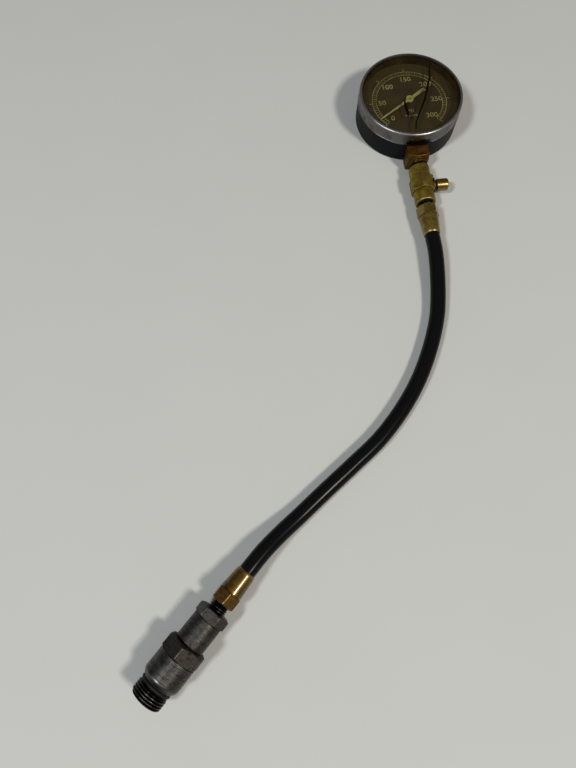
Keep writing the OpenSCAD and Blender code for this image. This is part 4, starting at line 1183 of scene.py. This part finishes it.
class TESTER_OT_stage(bpy.types.Operator):
    """Add the pale floor, the two soft lights and the world"""
    bl_idname = "tester.stage"
    bl_label = "Stage"

    def execute(self, context):
        settings = context.scene.tester_stage
        bm = bmesh.new()
        bmesh.ops.create_grid(bm, x_segments=2, y_segments=2, size=3.0)
        floor = finished("floor", bm)
        floor.location = (0, 0, -0.00002)
        material, tree, shader, coordinates = new_material("PaleFloor")
        shade = blend(tree, noise(tree, coordinates, 60, 2), [c * 0.97 for c in settings.floor_colour] + [1],
                      list(settings.floor_colour) + [1])
        tree.links.new(shade, shader.inputs["Base Color"])
        shader.inputs["Roughness"].default_value = 0.8
        shader.inputs["Specular IOR Level"].default_value = 0.2
        floor.data.materials.append(material)
        self.lamp("KeyLight", KEY_AT, settings.key_power, (1.0, 0.96, 0.91))
        self.lamp("FillLight", FILL_AT, settings.fill_power, (0.88, 0.94, 1.0))
        world = bpy.data.worlds.new("Room")
        world.use_nodes = True
        world.node_tree.nodes["Background"].inputs["Color"].default_value = (0.93, 0.96, 1.0, 1)
        world.node_tree.nodes["Background"].inputs["Strength"].default_value = ROOM_STRENGTH
        context.scene.world = world
        context.scene.view_settings.view_transform = 'Standard'
        return {'FINISHED'}

    def lamp(self, name, at, power, colour):
        """A square area light that looks at the middle of the tester."""
        data = bpy.data.lights.new(name, 'AREA')
        data.energy = power
        data.size = LIGHT_SIZE
        data.color = colour
        light = bpy.data.objects.new(name, data)
        bpy.context.scene.collection.objects.link(light)
        aim = Vector(LIGHTS_LOOK_AT) - Vector(at)
        light.matrix_world = Matrix.Translation(at) @ aim.to_track_quat('-Z', 'Y').to_matrix().to_4x4()


# Panel and registration

OPERATORS = (TESTER_OT_camera, TESTER_OT_couplings, TESTER_OT_adapters, TESTER_OT_hose, TESTER_OT_valve,
             TESTER_OT_dial, TESTER_OT_glass, TESTER_OT_finishes, TESTER_OT_stage)
GROUPS = {"tester_hose": HoseSettings, "tester_dial": DialSettings, "tester_stage": StageSettings}


class TESTER_PT_sidebar(bpy.types.Panel):
    """Compression tester"""
    bl_idname = "TESTER_PT_sidebar"
    bl_label = "Compression Tester"
    bl_space_type = 'VIEW_3D'
    bl_region_type = 'UI'
    bl_category = "Tester"

    def draw(self, context):
        for name, group in GROUPS.items():
            box = self.layout.box()
            for prop in group.bl_rna.properties:
                if not prop.is_readonly and prop.identifier != "name":
                    box.prop(getattr(context.scene, name), prop.identifier)
        for operator in OPERATORS:
            self.layout.operator(operator.bl_idname)


def register():
    for cls in (*GROUPS.values(), *OPERATORS, TESTER_PT_sidebar):
        bpy.utils.register_class(cls)
    for name, group in GROUPS.items():
        setattr(bpy.types.Scene, name, PointerProperty(type=group))


def unregister():
    for name in GROUPS:
        delattr(bpy.types.Scene, name)
    for cls in (TESTER_PT_sidebar, *reversed(OPERATORS), *reversed(GROUPS.values())):
        bpy.utils.unregister_class(cls)


def main():
    register()
    bpy.ops.tester.camera()
    bpy.ops.tester.couplings()
    bpy.ops.tester.adapters()
    bpy.ops.tester.hose()
    bpy.ops.tester.valve()
    bpy.ops.tester.dial()
    bpy.ops.tester.glass()
    bpy.ops.tester.finishes()
    bpy.ops.tester.stage()


if __name__ == "__main__":
    main()
